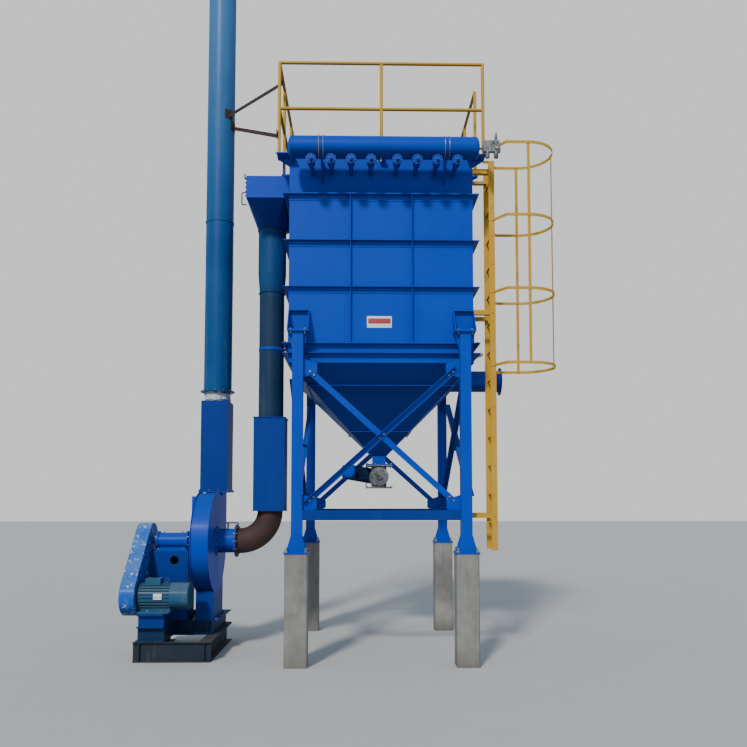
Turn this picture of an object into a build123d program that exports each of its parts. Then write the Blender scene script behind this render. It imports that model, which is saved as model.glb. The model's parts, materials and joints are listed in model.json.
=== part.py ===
"""Pulse jet bag filter with its hopper, access ladder, fan set and stack."""
import os
from math import acos, degrees

from build123d import *

os.makedirs("parts", exist_ok=True)

# Bag housing, made of four stiffened walls
housing_width = 1910
housing_depth = 1940
housing_bottom = 3235
housing_height = 1565
plate = 5
bottom_angle_leg = 100
stiffener_leg = 60
stiffener_thickness = 6
stiffener_bays = 3
rib_bays = 3
rib_depth = 50

# Clean air plenum on the housing, its roof and lift off covers
plenum_height = 400
roof_thickness = 6
roof_overhang = 12
cover_count = 4
cover_gap = 60
cover_height = 45
cover_bevel = 10

# Concrete pedestals and the steel columns that stand on them
column_inset = 110
column_outset = 130
pedestal_size = 225
pedestal_height = 1100
pedestal_edge = 12
base_plate_size = 240
base_plate_thickness = 16
column_size = 110
column_wall = 6
gusset_height = 165
gusset_width = 205
gusset_thickness = 10
cap_plate_width = 210
cap_plate_depth = 170
cap_plate_thickness = 12
head_gusset_height = 180

# Ties and crossed braces between the columns
tie_level = 1430
tie_height = 100
tie_flange = 50
tie_thickness = 7
brace_leg = 60
brace_thickness = 6
brace_plate_thickness = 8
brace_plate_size = 70
brace_foot_rise = 60
brace_head_drop = 363
brace_end_gap = 30
brace_corner_width = 140
brace_corner_height = 190
side_brace_shift = 30
side_brace_foot_rise = 120
side_brace_head_drop = 483

# Open fronted brackets that carry the housing on the columns
lug_width = 215
lug_height = 245
lug_reach = 215
lug_top_reach = 45
lug_plate = 10

# Hopper
hopper_skirt = 195
hopper_slope_height = 910
hopper_neck_length = 100
hopper_outlet = 150
hopper_flange_size = 300
flange_thickness = 12
hopper_upper_ring_drop = 405
hopper_lower_ring_drop = 850
hopper_ring_depth = 30
hopper_ring_thickness = 6

# Dusty air inlet on the right of the hopper
nozzle_diameter = 240
nozzle_drop = 235
nozzle_projection = 445
nozzle_wall = 5
nozzle_inset = 190
duct_flange_width = 40
duct_flange_thickness = 10
flange_bolts = 8
flange_bolt_hole = 14

# Rotary valve under the hopper and its drive
valve_height = 260
valve_body_diameter = 190
valve_body_length = 230
valve_cover_diameter = 216
valve_cover_thickness = 14
valve_bearing_diameter = 64
valve_bearing_length = 26
valve_neck = 170
valve_mouth_depth = 40
drive_offset_x = 345
drive_rise = 60
chain_guard_radius = 88
chain_guard_depth = 55
gearbox_size = 150
gearbox_length = 120
gearbox_corner = 14
drive_motor_diameter = 150
drive_motor_length = 190
drive_plate_thickness = 10
drive_cowl_length = 60
drive_cowl_rise = 6
drive_cowl_round = 16

# Compressed air tank with its pulse valves
tank_diameter = 220
tank_overhang = 10
tank_wall = 6
tank_drop = 30
tank_offset = 300
tank_shift = 20
tank_end_depth = 40
tank_bracket_thickness = 10
tank_bracket_height = 150
valve_pitch = 200
valve_centre_gap = 262
valves_per_side = 4
pulse_body_diameter = 74
pulse_body_length = 110
pulse_cover_diameter = 100
pulse_cover_thickness = 34
pulse_pilot_diameter = 34
pulse_pilot_length = 30
pulse_drop = 40
pulse_neck_diameter = 60
blow_pipe_diameter = 48
blow_pipe_wall = 4
blow_pipe_inset = 60
blow_collar_diameter = 76
blow_collar_length = 18

# Handrail around the roof
rail_tube = 34
rail_overhang = 100
rail_height = 982
mid_rail_height = 475
rail_foot = 60
side_bay = 540
rail_bracket_thickness = 10
rail_bracket_edge = 25
rail_gusset_height = 80
rail_gusset_thickness = 8

# Ladder with its safety cage, on the right of the housing
ladder_standoff = 200
ladder_inset = 170
ladder_width = 330
ladder_bottom = 1120
ladder_drop = 15
stringer_width = 62
stringer_thickness = 10
rung_pitch = 300
rung_diameter = 20
rung_start_height = 270
cage_reach = 680
cage_width = 640
cage_bar_width = 30
cage_bar_thickness = 6
cage_bottom = 3010
hoop_count = 4
hoop_pitch = 765
cage_strap_width = 30
cage_strap_count = 3
cage_flare = 130
ladder_bracket_leg = 50
ladder_bracket_thickness = 6
ladder_bracket_lap = 20
lower_bracket_rise = 315
upper_bracket_drop = 150

# Clean air outlet and the duct that goes down to the fan
outlet_reach = 475
outlet_depth = 1060
outlet_rise = 40
outlet_height = 235
outlet_neck_drop = 180
outlet_rim = 40
outlet_shelf = 68
duct_standoff = 250
duct_shift_y = 270
duct_diameter = 310
duct_wall = 4
duct_ring_width = 10
duct_clamp_rise = 55
duct_clamp_height = 30
duct_clamp_thickness = 5
duct_upper_length = 510
reducer_length = 205
downcomer_diameter = 275
duct_box_size = 338
duct_box_height = 1025
duct_box_rim = 8
elbow_radius = 325
elbow_end = 35

# Fan
fan_standoff = 670
fan_level = 1190
casing_width = 190
casing_wall = 6
casing_rim = 15
scroll_radius = 525
scroll_step = 10
discharge_rise = 545
discharge_depth = 260
discharge_box_depth = 350
discharge_width = 310
discharge_box_height = 1035
casing_flange_width = 15
inlet_ring_diameter = 262
inlet_flange_width = 30
stand_front = 180
stand_back = 370
stand_wall = 6
stand_foot_width = 50
stand_foot_thickness = 10

# Bearings, drive and guard of the fan
bearing_centre_height = 106
bearing_post_width = 400
bearing_post_depth = 320
bearing_post_wall = 8
bearing_hole_diameter = 90
bearing_hole_offset = 50
bearing_hole_drop = 94
bearing_diameter = 175
bearing_length = 340
bearing_foot_width = 240
bearing_foot_thickness = 22
bearing_web_width = 110
bearing_flange_diameter = 210
bearing_flange_length = 22
bearing_cap_diameter = 140
bearing_cap_length = 18
shaft_diameter = 60
guard_standoff = 600
guard_thickness = 155
guard_radius = 195
guard_edge = 12
guard_stay_height = 60
guard_clearance = 15
motor_distance_y = 530
motor_drop = 540
motor_diameter = 276
motor_length = 510
motor_cowl_length = 190
motor_foot_width = 250
motor_foot_thickness = 18
motor_web_width = 150
motor_shaft_diameter = 42
motor_shaft_height = 160
motor_fin_count = 24
motor_fin_depth = 14
motor_fin_thickness = 5
terminal_box_length = 150
terminal_box_width = 120
terminal_box_height = 45
terminal_box_inset = 140

# Steelwork under the fan
plinth_height = 200
plinth_flange = 130
plinth_thickness = 9
plinth_channel_flange = 35
plinth_left_shift = 40
plinth_right_shift = 15
plinth_front_reach = 70
frame_height = 150
frame_flange = 70
frame_thickness = 8
frame_left_inset = 75
frame_middle_inset = 10
frame_right_inset = 20
frame_back_reach = 690
motor_bay_width = 200
motor_bay_reach = 40
post_beam_spacing = 250
motor_channel_height = 118
motor_channel_flange = 50
motor_channel_spacing = 120
motor_plate_thickness = 22

# Stack and its stays
stack_diameter = 320
stack_wall = 4
sleeve_height = 115
sleeve_diameter = 300
sleeve_wall = 4
sleeve_band_height = 22
sleeve_band_thickness = 3
stack_height = 6115
stack_seam_rise = 2005
stack_joint_rise = 4915
stack_joint_width = 6
stack_joint_height = 20
stack_flange_width = 36
stay_leg = 40
stay_thickness = 5
stay_pad_height = 110
stay_pad_thickness = 6
stay_pad_arc = 36
stay_plate_width = 100
stay_plate_height = 60
stay_plate_thickness = 8
upper_stay_rise = 980
upper_stay_turn = -47
upper_stay_inset = 350
lower_stay_rise = 860
lower_stay_turn = -20
lower_stay_end_rise = 200

# Compressed air regulator beside the tank
regulator_gap = 9
regulator_bowl_diameter = 44
regulator_bowl_height = 60
regulator_body_height = 70
regulator_knob_diameter = 30
regulator_knob_height = 90
regulator_pitch = 88
regulator_plate_rise = 70
regulator_plate_thickness = 6
regulator_corner = 8
air_pipe_diameter = 22

# Spacings and levels that follow from the housing
rib_spacing = housing_width / rib_bays
column_spacing_x = housing_width - 2 * column_inset
column_spacing_y = housing_depth + 2 * column_outset
plenum_bottom = housing_bottom + housing_height
roof_level = plenum_bottom + plenum_height
column_base = pedestal_height + base_plate_thickness
lug_level = housing_bottom + bottom_angle_leg
column_top = lug_level - cap_plate_thickness
hopper_neck_top = housing_bottom - hopper_skirt - hopper_slope_height
hopper_flange_level = hopper_neck_top - hopper_neck_length
nozzle_level = housing_bottom - nozzle_drop
tank_level = roof_level - tank_drop
tank_length = housing_width + 2 * tank_overhang
pulse_level = tank_level - tank_diameter / 2 - pulse_drop
outlet_bottom = plenum_bottom + outlet_rise
outlet_top = outlet_bottom + outlet_height
outlet_neck_level = outlet_bottom - outlet_neck_drop
reducer_top = outlet_neck_level - duct_upper_length
reducer_bottom = reducer_top - reducer_length

# The filter's centreline, set so that the plant is centred on the origin
duct_offset_x = housing_width / 2 + duct_standoff
fan_offset_x = duct_offset_x + fan_standoff
guard_offset_x = fan_offset_x + guard_standoff
ladder_offset_x = housing_width / 2 + ladder_standoff
plant_left = guard_offset_x + guard_thickness
plant_right = ladder_offset_x + cage_reach
pulse_front = tank_offset + pulse_body_length / 2 + pulse_cover_thickness + pulse_pilot_length
plant_front = housing_depth / 2 + pulse_front
plant_back = column_spacing_y / 2 + base_plate_size / 2
filter_x = (plant_left - plant_right) / 2
filter_y = (plant_front - plant_back) / 2

# Places in the plan
left_face = filter_x - housing_width / 2
right_face = filter_x + housing_width / 2
front_face = filter_y - housing_depth / 2
rear_face = filter_y + housing_depth / 2
ladder_x = filter_x + ladder_offset_x
ladder_y = front_face + ladder_inset
duct_x = filter_x - duct_offset_x
duct_y = filter_y - duct_shift_y
tank_x = filter_x + tank_shift
tank_y = front_face - tank_offset
valve_places = []
for valve in range(valves_per_side):
    place = valve_centre_gap / 2 + valve * valve_pitch
    valve_places.extend((-place, place))
tank_bracket_place = valve_centre_gap / 2 + (valves_per_side / 2 + 0.5) * valve_pitch

# Places of the fan set
fan_x = filter_x - fan_offset_x
fan_y = duct_y
casing_left = fan_x - casing_width / 2
casing_right = fan_x + casing_width / 2
duct_box_bottom = fan_level + elbow_radius
duct_box_top = duct_box_bottom + duct_box_height
discharge_bottom = fan_level + discharge_rise
discharge_top = discharge_bottom + discharge_box_height
scroll_rear = scroll_radius + 2 * scroll_step + scroll_step / 2
stack_x = fan_x
stack_y = fan_y + scroll_rear - discharge_depth / 2
stack_bottom = discharge_top + sleeve_height
guard_right = filter_x - guard_offset_x
motor_left = guard_right + guard_clearance
motor_y = fan_y - motor_distance_y
motor_level = fan_level - motor_drop
motor_seat = motor_level - motor_shaft_height
motor_body_length = motor_length - motor_cowl_length
bearing_post_top = fan_level - bearing_centre_height
post_x = guard_right + guard_clearance + bearing_post_width / 2
frame_top = plinth_height + frame_height
frame_left = guard_right + frame_left_inset
frame_middle = casing_left + frame_middle_inset
frame_right = casing_right - frame_right_inset
frame_front = fan_y - stand_front
frame_back = fan_y + frame_back_reach
motor_bay_right = frame_left + motor_bay_width
motor_bay_front = motor_y - motor_bay_reach
plinth_front = motor_y - plinth_front_reach

# Places of the handrail
rail_x = housing_width / 2 + rail_overhang
rail_y = housing_depth / 2 + rail_overhang
left_x = filter_x - rail_x
right_x = filter_x + rail_x
near_y = filter_y - rail_y
far_y = filter_y + rail_y
gate_y = near_y + side_bay
middle_y = (gate_y + far_y) / 2
rail_top = roof_level + rail_height - rail_tube / 2


def save(piece, label):
    """Label a finished piece and write its file."""
    piece.part.label = label
    export_step(piece.part, f"parts/{label}.step")


def face_plane(side):
    """Plane on one outer face of the housing: x along the wall, y up, z outward."""
    planes = {
        "front": Plane((filter_x, front_face, 0), x_dir=(1, 0, 0), z_dir=(0, -1, 0)),
        "rear": Plane((filter_x, rear_face, 0), x_dir=(-1, 0, 0), z_dir=(0, 1, 0)),
        "left": Plane((left_face, filter_y, 0), x_dir=(0, -1, 0), z_dir=(-1, 0, 0)),
        "right": Plane((right_face, filter_y, 0), x_dir=(0, 1, 0), z_dir=(1, 0, 0)),
    }
    return planes[side]


def box(x_range, y_range, z_range, mode=Mode.ADD):
    """Plain plate or block between two corners."""
    centre = [(low + high) / 2 for low, high in (x_range, y_range, z_range)]
    size = [high - low for low, high in (x_range, y_range, z_range)]
    with Locations(tuple(centre)):
        Box(*size, mode=mode)


def around(centre, size):
    """Range of the given size around a centre."""
    return (centre - size / 2, centre + size / 2)


def run_profile(profile, start, end, side):
    """Extrude a profile from start to end, its x axis turned as near to side as it goes."""
    run = Vector(*end) - Vector(*start)
    along = run.normalized()
    turned = Vector(*side) - along * Vector(*side).dot(along)
    with BuildSketch(Plane(tuple(start), x_dir=tuple(turned), z_dir=tuple(along))) as section:
        add(profile)
    extrude(to_extrude=section.sketch, amount=run.length)


def angle_section(leg, thickness):
    """Equal angle with its heel at the origin."""
    with BuildSketch() as section:
        Rectangle(leg, thickness, align=(Align.MIN, Align.MIN))
        Rectangle(thickness, leg, align=(Align.MIN, Align.MIN))
    return section.sketch


def channel_section(height, flange, thickness):
    """Channel with its web on the x axis and its flanges towards plus y."""
    with BuildSketch() as section:
        Rectangle(height, thickness, align=(Align.CENTER, Align.MIN))
        with Locations((-height / 2, 0)):
            Rectangle(thickness, flange, align=(Align.MIN, Align.MIN))
        with Locations((height / 2, 0)):
            Rectangle(thickness, flange, align=(Align.MAX, Align.MIN))
    return section.sketch


def beam_section(height, flange, thickness):
    """I section with its web along the x axis."""
    with BuildSketch() as section:
        Rectangle(height, thickness)
        for end, place in ((-height / 2, Align.MIN), (height / 2, Align.MAX)):
            with Locations((end, 0)):
                Rectangle(thickness, flange, align=(place, Align.CENTER))
    return section.sketch


def tube_section(diameter, wall):
    """Round tube."""
    with BuildSketch() as section:
        Circle(diameter / 2)
        Circle(diameter / 2 - wall, mode=Mode.SUBTRACT)
    return section.sketch


# Pedestals
with BuildPart() as pedestals:
    with Locations((filter_x, filter_y, 0)):
        with GridLocations(column_spacing_x, column_spacing_y, 2, 2):
            Box(
                pedestal_size,
                pedestal_size,
                pedestal_height,
                align=(Align.CENTER, Align.CENTER, Align.MIN),
            )
    chamfer(pedestals.edges().filter_by(Axis.Z), pedestal_edge)
save(pedestals, "pedestals")


# Columns, each with its base plate, gussets and cap plate
def build_column(label, sign_x, sign_y):
    """One hollow square column; its gussets face the front and the back."""
    x = filter_x + sign_x * column_spacing_x / 2
    y = filter_y + sign_y * column_spacing_y / 2
    with BuildPart() as column:
        with BuildSketch(Plane((x, y, pedestal_height))):
            Rectangle(base_plate_size, base_plate_size)
        extrude(amount=base_plate_thickness)
        with BuildSketch(Plane((x, y, column_base))):
            Rectangle(column_size, column_size)
            Rectangle(column_size - 2 * column_wall, column_size - 2 * column_wall, mode=Mode.SUBTRACT)
        extrude(amount=column_top - column_base)
        for facing in (-1, 1):
            up = -facing
            origin = (x, y + facing * column_size / 2, column_base)
            with BuildSketch(Plane(origin, x_dir=(1, 0, 0), z_dir=(0, facing, 0))):
                with BuildLine():
                    Polyline(
                        (-gusset_width / 2, 0),
                        (gusset_width / 2, 0),
                        (column_size / 2, up * gusset_height),
                        (-column_size / 2, up * gusset_height),
                        close=True,
                    )
                make_face()
            extrude(amount=gusset_thickness)
        with BuildSketch(Plane((x, y, column_top))):
            Rectangle(cap_plate_width, cap_plate_depth)
        extrude(amount=cap_plate_thickness)
        with BuildSketch(Plane((x, y, column_top), x_dir=(1, 0, 0), z_dir=(0, -1, 0))):
            for sign in (-1, 1):
                with BuildLine():
                    Polyline(
                        (sign * column_size / 2, 0),
                        (sign * cap_plate_width / 2, 0),
                        (sign * column_size / 2, -head_gusset_height),
                        close=True,
                    )
                make_face()
        extrude(amount=gusset_thickness / 2, both=True)
    save(column, label)


for depth_name, sign_y in (("front", -1), ("rear", 1)):
    for side_name, sign_x in (("left", -1), ("right", 1)):
        build_column(f"column_{depth_name}_{side_name}", sign_x, sign_y)


# Ties between the columns, channels with their flanges turned inward
with BuildPart() as tie_beams:
    tie = channel_section(tie_height, tie_flange, tie_thickness)
    tie_z = tie_level + tie_height / 2
    half_x = (column_spacing_x - column_size) / 2
    half_y = (column_spacing_y - column_size) / 2
    for sign in (-1, 1):
        face_y = filter_y + sign * (column_spacing_y + column_size) / 2
        ends = [(filter_x - sign * half_x, face_y, tie_z), (filter_x + sign * half_x, face_y, tie_z)]
        run_profile(tie, ends[0], ends[1], (0, 0, 1))
        face_x = filter_x + sign * (column_spacing_x + column_size) / 2
        ends = [(face_x, filter_y + sign * half_y, tie_z), (face_x, filter_y - sign * half_y, tie_z)]
        run_profile(tie, ends[0], ends[1], (0, 0, 1))
save(tie_beams, "tie_beams")


# Crossed braces of one side: an angle each way, bolted to plates at the crossing and the columns
def build_bracing(label, side):
    """Two angles in the plane of a pair of columns, one before and one behind the plates."""
    lengthwise = side in ("front", "rear")
    along = column_spacing_x if lengthwise else column_spacing_y
    depth = column_spacing_y if lengthwise else column_spacing_x
    shift = 0 if lengthwise else side_brace_shift
    foot = tie_level + tie_height + (brace_foot_rise if lengthwise else side_brace_foot_rise)
    head = column_top - (brace_head_drop if lengthwise else side_brace_head_drop)
    face = face_plane(side)
    centre = Vector(filter_x, filter_y, 0) + face.z_dir * (depth / 2 + shift)
    half = (along - column_size) / 2
    with BuildPart() as bracing:
        for sign in (-1, 1):
            layer = centre + face.z_dir * (sign * brace_plate_thickness / 2)
            reach = face.x_dir * (sign * (half - brace_end_gap))
            start = layer - reach + Vector(0, 0, foot)
            end = layer + reach + Vector(0, 0, head)
            run_profile(brace_angle, start, end, face.z_dir * sign)
        origin = centre - face.z_dir * (brace_plate_thickness / 2)
        with BuildSketch(Plane(tuple(origin), x_dir=tuple(face.x_dir), z_dir=tuple(face.z_dir))):
            with Locations((0, (foot + head) / 2)):
                Rectangle(brace_plate_size, brace_plate_size, rotation=45)
            for sign in (-1, 1):
                inner = sign * (half - brace_corner_width)
                for level in (foot, head):
                    with BuildLine():
                        Polyline(
                            (sign * half, level - brace_corner_height / 2),
                            (sign * half, level + brace_corner_height / 2),
                            (inner, level + brace_corner_height / 4),
                            (inner, level - brace_corner_height / 4),
                            close=True,
                        )
                    make_face()
        extrude(amount=brace_plate_thickness)
    save(bracing, label)


brace_angle = angle_section(brace_leg, brace_thickness).moved(Location((0, -brace_leg / 2)))
for side in ("front", "rear", "left", "right"):
    build_bracing(f"{side}_bracing", side)


# Bag housing walls with their stiffeners
def build_wall(label, side):
    """Flat wall with angle stiffeners across it and flat bar ribs down it."""
    lengthwise = side in ("front", "rear")
    width = housing_width if lengthwise else housing_depth - 2 * plate
    edge = housing_width + 2 * stiffener_leg if lengthwise else housing_depth
    leg_width = housing_width if lengthwise else housing_depth
    face = face_plane(side)
    bay = (plenum_bottom - lug_level) / stiffener_bays
    with BuildPart() as wall:
        with BuildSketch(face):
            with Locations((0, housing_bottom)):
                Rectangle(width, housing_height, align=(Align.CENTER, Align.MIN))
        extrude(amount=-plate)
        with BuildSketch(face):
            with Locations((0, housing_bottom)):
                Rectangle(leg_width, bottom_angle_leg, align=(Align.CENTER, Align.MIN))
            for row in range(1, stiffener_bays + 1):
                with Locations((0, lug_level + row * bay)):
                    Rectangle(leg_width, stiffener_leg, align=(Align.CENTER, Align.MAX))
        extrude(amount=stiffener_thickness)
        with BuildSketch(face):
            with Locations((0, housing_bottom)):
                Rectangle(edge, stiffener_thickness, align=(Align.CENTER, Align.MIN))
            for row in range(1, stiffener_bays + 1):
                with Locations((0, lug_level + row * bay)):
                    Rectangle(edge, stiffener_thickness, align=(Align.CENTER, Align.MAX))
        extrude(amount=stiffener_leg)
        with BuildSketch(face):
            with Locations((-rib_spacing / 2, housing_bottom), (rib_spacing / 2, housing_bottom)):
                Rectangle(stiffener_thickness, housing_height, align=(Align.CENTER, Align.MIN))
        extrude(amount=rib_depth)
    save(wall, label)


for side in ("front", "rear", "left", "right"):
    build_wall(f"{side}_wall", side)


# Brackets over the columns: a floor, a short roof and two gussets, open to the front
with BuildPart() as support_lugs:
    for sign_x in (-1, 1):
        for facing in (-1, 1):
            lug_x = filter_x + sign_x * column_spacing_x / 2
            face_y = filter_y + facing * housing_depth / 2
            with BuildSketch(Plane((lug_x, face_y, lug_level), x_dir=(0, facing, 0), z_dir=(1, 0, 0))):
                with BuildLine():
                    Polyline(
                        (0, 0),
                        (lug_reach, 0),
                        (lug_reach, facing * lug_plate),
                        (lug_top_reach, facing * lug_height),
                        (0, facing * lug_height),
                        close=True,
                    )
                make_face()
            extrude(amount=lug_width / 2, both=True)
            box(
                around(lug_x, lug_width - 2 * lug_plate),
                around(face_y, 2 * lug_reach),
                (lug_level + lug_plate, lug_level + lug_height - lug_plate),
                mode=Mode.SUBTRACT,
            )
save(support_lugs, "support_lugs")


# Clean air plenum: a ring of plate with a flange, open to the outlet and to the blow pipes
with BuildPart() as plenum:
    with BuildSketch(Plane((filter_x, filter_y, plenum_bottom))):
        Rectangle(housing_width, housing_depth)
        Rectangle(housing_width - 2 * plate, housing_depth - 2 * plate, mode=Mode.SUBTRACT)
    extrude(amount=plenum_height)
    with BuildSketch(Plane((filter_x, filter_y, plenum_bottom))):
        Rectangle(housing_width + 2 * stiffener_leg, housing_depth + 2 * stiffener_leg)
        Rectangle(housing_width, housing_depth, mode=Mode.SUBTRACT)
    extrude(amount=stiffener_thickness)
    with BuildSketch(face_plane("front")):
        with Locations([(tank_shift + place, pulse_level) for place in valve_places]):
            Circle(blow_pipe_diameter / 2)
    extrude(amount=-plate, mode=Mode.SUBTRACT)
    with BuildSketch(face_plane("left")):
        with Locations((duct_shift_y, (outlet_bottom + outlet_top) / 2)):
            Rectangle(outlet_depth - 2 * outlet_rim, outlet_height - 2 * outlet_rim)
    extrude(amount=-plate, mode=Mode.SUBTRACT)
save(plenum, "clean_air_plenum")


# Roof with its lift off covers
with BuildPart() as roof:
    with BuildSketch(Plane((filter_x, filter_y, roof_level))):
        Rectangle(housing_width + 2 * roof_overhang, housing_depth + 2 * roof_overhang)
    extrude(amount=roof_thickness)
save(roof, "roof")

with BuildPart() as roof_covers:
    cover_width = (housing_width - (cover_count + 1) * cover_gap) / cover_count
    with BuildSketch(Plane((filter_x, filter_y, roof_level + roof_thickness))):
        with GridLocations(cover_width + cover_gap, 1, cover_count, 1):
            Rectangle(cover_width, housing_depth - 2 * cover_gap)
    extrude(amount=cover_height)
    chamfer(roof_covers.faces().group_by(Axis.Z)[-1].edges(), cover_bevel)
save(roof_covers, "roof_covers")


# Hopper: its front and side outlines crossed into one block, then opened out to a shell
with BuildPart() as hopper_block:
    for width, across, mode in (
        (housing_width, (1, 0, 0), Mode.ADD),
        (housing_depth, (0, 1, 0), Mode.INTERSECT),
    ):
        forward = (across[1], -across[0], 0)
        with BuildSketch(Plane((filter_x, filter_y, 0), x_dir=across, z_dir=forward)):
            with BuildLine():
                Polyline(
                    (width / 2, housing_bottom),
                    (width / 2, housing_bottom - hopper_skirt),
                    (hopper_outlet / 2, hopper_neck_top),
                    (hopper_outlet / 2, hopper_flange_level),
                    (-hopper_outlet / 2, hopper_flange_level),
                    (-hopper_outlet / 2, hopper_neck_top),
                    (-width / 2, housing_bottom - hopper_skirt),
                    (-width / 2, housing_bottom),
                    close=True,
                )
            make_face()
        extrude(amount=housing_width, both=True, mode=mode)

with BuildPart() as hopper:
    add(hopper_block.part)
    open_ends = [hopper.faces().sort_by(Axis.Z)[0], hopper.faces().sort_by(Axis.Z)[-1]]
    offset(amount=-plate, openings=open_ends)
    with BuildSketch(Plane((filter_x, filter_y, housing_bottom))):
        Rectangle(housing_width + 2 * stiffener_leg, housing_depth + 2 * stiffener_leg)
        Rectangle(housing_width - 2 * plate, housing_depth - 2 * plate, mode=Mode.SUBTRACT)
    extrude(amount=-stiffener_thickness)
    with BuildSketch(Plane((filter_x, filter_y, housing_bottom - bottom_angle_leg))):
        Rectangle(housing_width + 2 * stiffener_leg, housing_depth + 2 * stiffener_leg)
        Rectangle(housing_width, housing_depth, mode=Mode.SUBTRACT)
    extrude(amount=-stiffener_thickness)
    with BuildSketch(Plane((filter_x, filter_y, hopper_flange_level))):
        Rectangle(hopper_flange_size, hopper_flange_size)
        Rectangle(hopper_outlet - 2 * plate, hopper_outlet - 2 * plate, mode=Mode.SUBTRACT)
    extrude(amount=flange_thickness)
    with BuildSketch(Plane((filter_x, filter_y, nozzle_level), x_dir=(0, 1, 0), z_dir=(1, 0, 0))):
        Circle(nozzle_diameter / 2 - nozzle_wall)
    extrude(amount=housing_width, mode=Mode.SUBTRACT)
    for drop in (hopper_upper_ring_drop, hopper_lower_ring_drop):
        level = housing_bottom - drop
        share = (level - hopper_neck_top) / hopper_slope_height
        width = hopper_outlet + share * (housing_width - hopper_outlet)
        depth = hopper_outlet + share * (housing_depth - hopper_outlet)
        with BuildSketch(Plane((filter_x, filter_y, level))):
            Rectangle(width + 2 * hopper_ring_depth, depth + 2 * hopper_ring_depth)
            Rectangle(width - plate, depth - plate, mode=Mode.SUBTRACT)
        extrude(amount=hopper_ring_thickness)
save(hopper, "hopper")

# Inlet nozzle, through the right side of the hopper
with BuildPart() as inlet_nozzle:
    inner_x = right_face - nozzle_inset
    outer_x = right_face + nozzle_projection
    with BuildSketch(Plane((inner_x, filter_y, nozzle_level), x_dir=(0, 1, 0), z_dir=(1, 0, 0))):
        Circle(nozzle_diameter / 2)
        Circle(nozzle_diameter / 2 - nozzle_wall, mode=Mode.SUBTRACT)
    extrude(amount=outer_x - inner_x)
    with BuildSketch(Plane((outer_x, filter_y, nozzle_level), x_dir=(0, 1, 0), z_dir=(1, 0, 0))):
        Circle(nozzle_diameter / 2 + duct_flange_width)
        Circle(nozzle_diameter / 2 - nozzle_wall, mode=Mode.SUBTRACT)
        with PolarLocations(nozzle_diameter / 2 + duct_flange_width / 2, flange_bolts):
            Circle(flange_bolt_hole / 2, mode=Mode.SUBTRACT)
    extrude(amount=-duct_flange_thickness)
    add(hopper_block.part, mode=Mode.SUBTRACT)
save(inlet_nozzle, "inlet_nozzle")


# Rotary valve: rotor housing across the flow, with flanged necks and bolted end covers
valve_bottom = hopper_flange_level - valve_height
valve_level = hopper_flange_level - valve_height / 2
with BuildPart() as rotary_valve:
    with BuildSketch(Plane((filter_x, filter_y, valve_bottom + flange_thickness))):
        Rectangle(valve_neck, valve_neck)
    extrude(amount=valve_height - 2 * flange_thickness)
    with BuildSketch(Plane((filter_x, filter_y, valve_level), x_dir=(1, 0, 0), z_dir=(0, -1, 0))):
        Circle(valve_body_diameter / 2)
    extrude(amount=valve_body_length / 2, both=True)
    for facing in (-1, 1):
        cover_y = filter_y + facing * valve_body_length / 2
        with BuildSketch(Plane((filter_x, cover_y, valve_level), x_dir=(1, 0, 0), z_dir=(0, facing, 0))):
            Circle(valve_cover_diameter / 2)
        extrude(amount=valve_cover_thickness)
    bearing_y = filter_y - valve_body_length / 2 - valve_cover_thickness
    with BuildSketch(Plane((filter_x, bearing_y, valve_level), x_dir=(1, 0, 0), z_dir=(0, -1, 0))):
        Circle(valve_bearing_diameter / 2)
    extrude(amount=valve_bearing_length)
    for level in (valve_bottom, hopper_flange_level - flange_thickness):
        with BuildSketch(Plane((filter_x, filter_y, level))):
            Rectangle(hopper_flange_size, hopper_flange_size)
        extrude(amount=flange_thickness)
    with BuildSketch(Plane((filter_x, filter_y, valve_bottom))):
        Rectangle(hopper_outlet, hopper_outlet)
    extrude(amount=valve_mouth_depth, mode=Mode.SUBTRACT)
save(rotary_valve, "rotary_valve")

# Chain guard behind the valve and the geared motor beside it
guard_y = filter_y + valve_body_length / 2 + valve_cover_thickness
drive_x = filter_x - drive_offset_x
drive_level = valve_level + drive_rise
with BuildPart() as valve_chain_guard:
    with BuildSketch(Plane((filter_x, guard_y, valve_level), x_dir=(1, 0, 0), z_dir=(0, -1, 0))):
        with BuildLine():
            Line((0, 0), (-drive_offset_x, drive_rise))
        trace(line_width=2 * chain_guard_radius)
        with Locations((0, 0), (-drive_offset_x, drive_rise)):
            Circle(chain_guard_radius)
    extrude(amount=-chain_guard_depth)
save(valve_chain_guard, "valve_chain_guard")

with BuildPart() as valve_gearmotor:
    with BuildSketch(Plane((drive_x, guard_y, drive_level), x_dir=(1, 0, 0), z_dir=(0, -1, 0))):
        RectangleRounded(gearbox_size, gearbox_size, gearbox_corner)
    extrude(amount=gearbox_length)
    motor_back = guard_y - gearbox_length
    with BuildSketch(Plane((drive_x, motor_back, drive_level), x_dir=(1, 0, 0), z_dir=(0, -1, 0))):
        Circle(drive_motor_diameter / 2 - drive_cowl_rise)
    extrude(amount=drive_motor_length - drive_cowl_length)
    cowl_back = motor_back - drive_motor_length + drive_cowl_length
    with BuildSketch(Plane((drive_x, cowl_back, drive_level), x_dir=(1, 0, 0), z_dir=(0, -1, 0))):
        Circle(drive_motor_diameter / 2)
    extrude(amount=drive_cowl_length)
    fillet(valve_gearmotor.faces().sort_by(Axis.Y)[0].edges(), drive_cowl_round)
save(valve_gearmotor, "valve_gearmotor")

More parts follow.
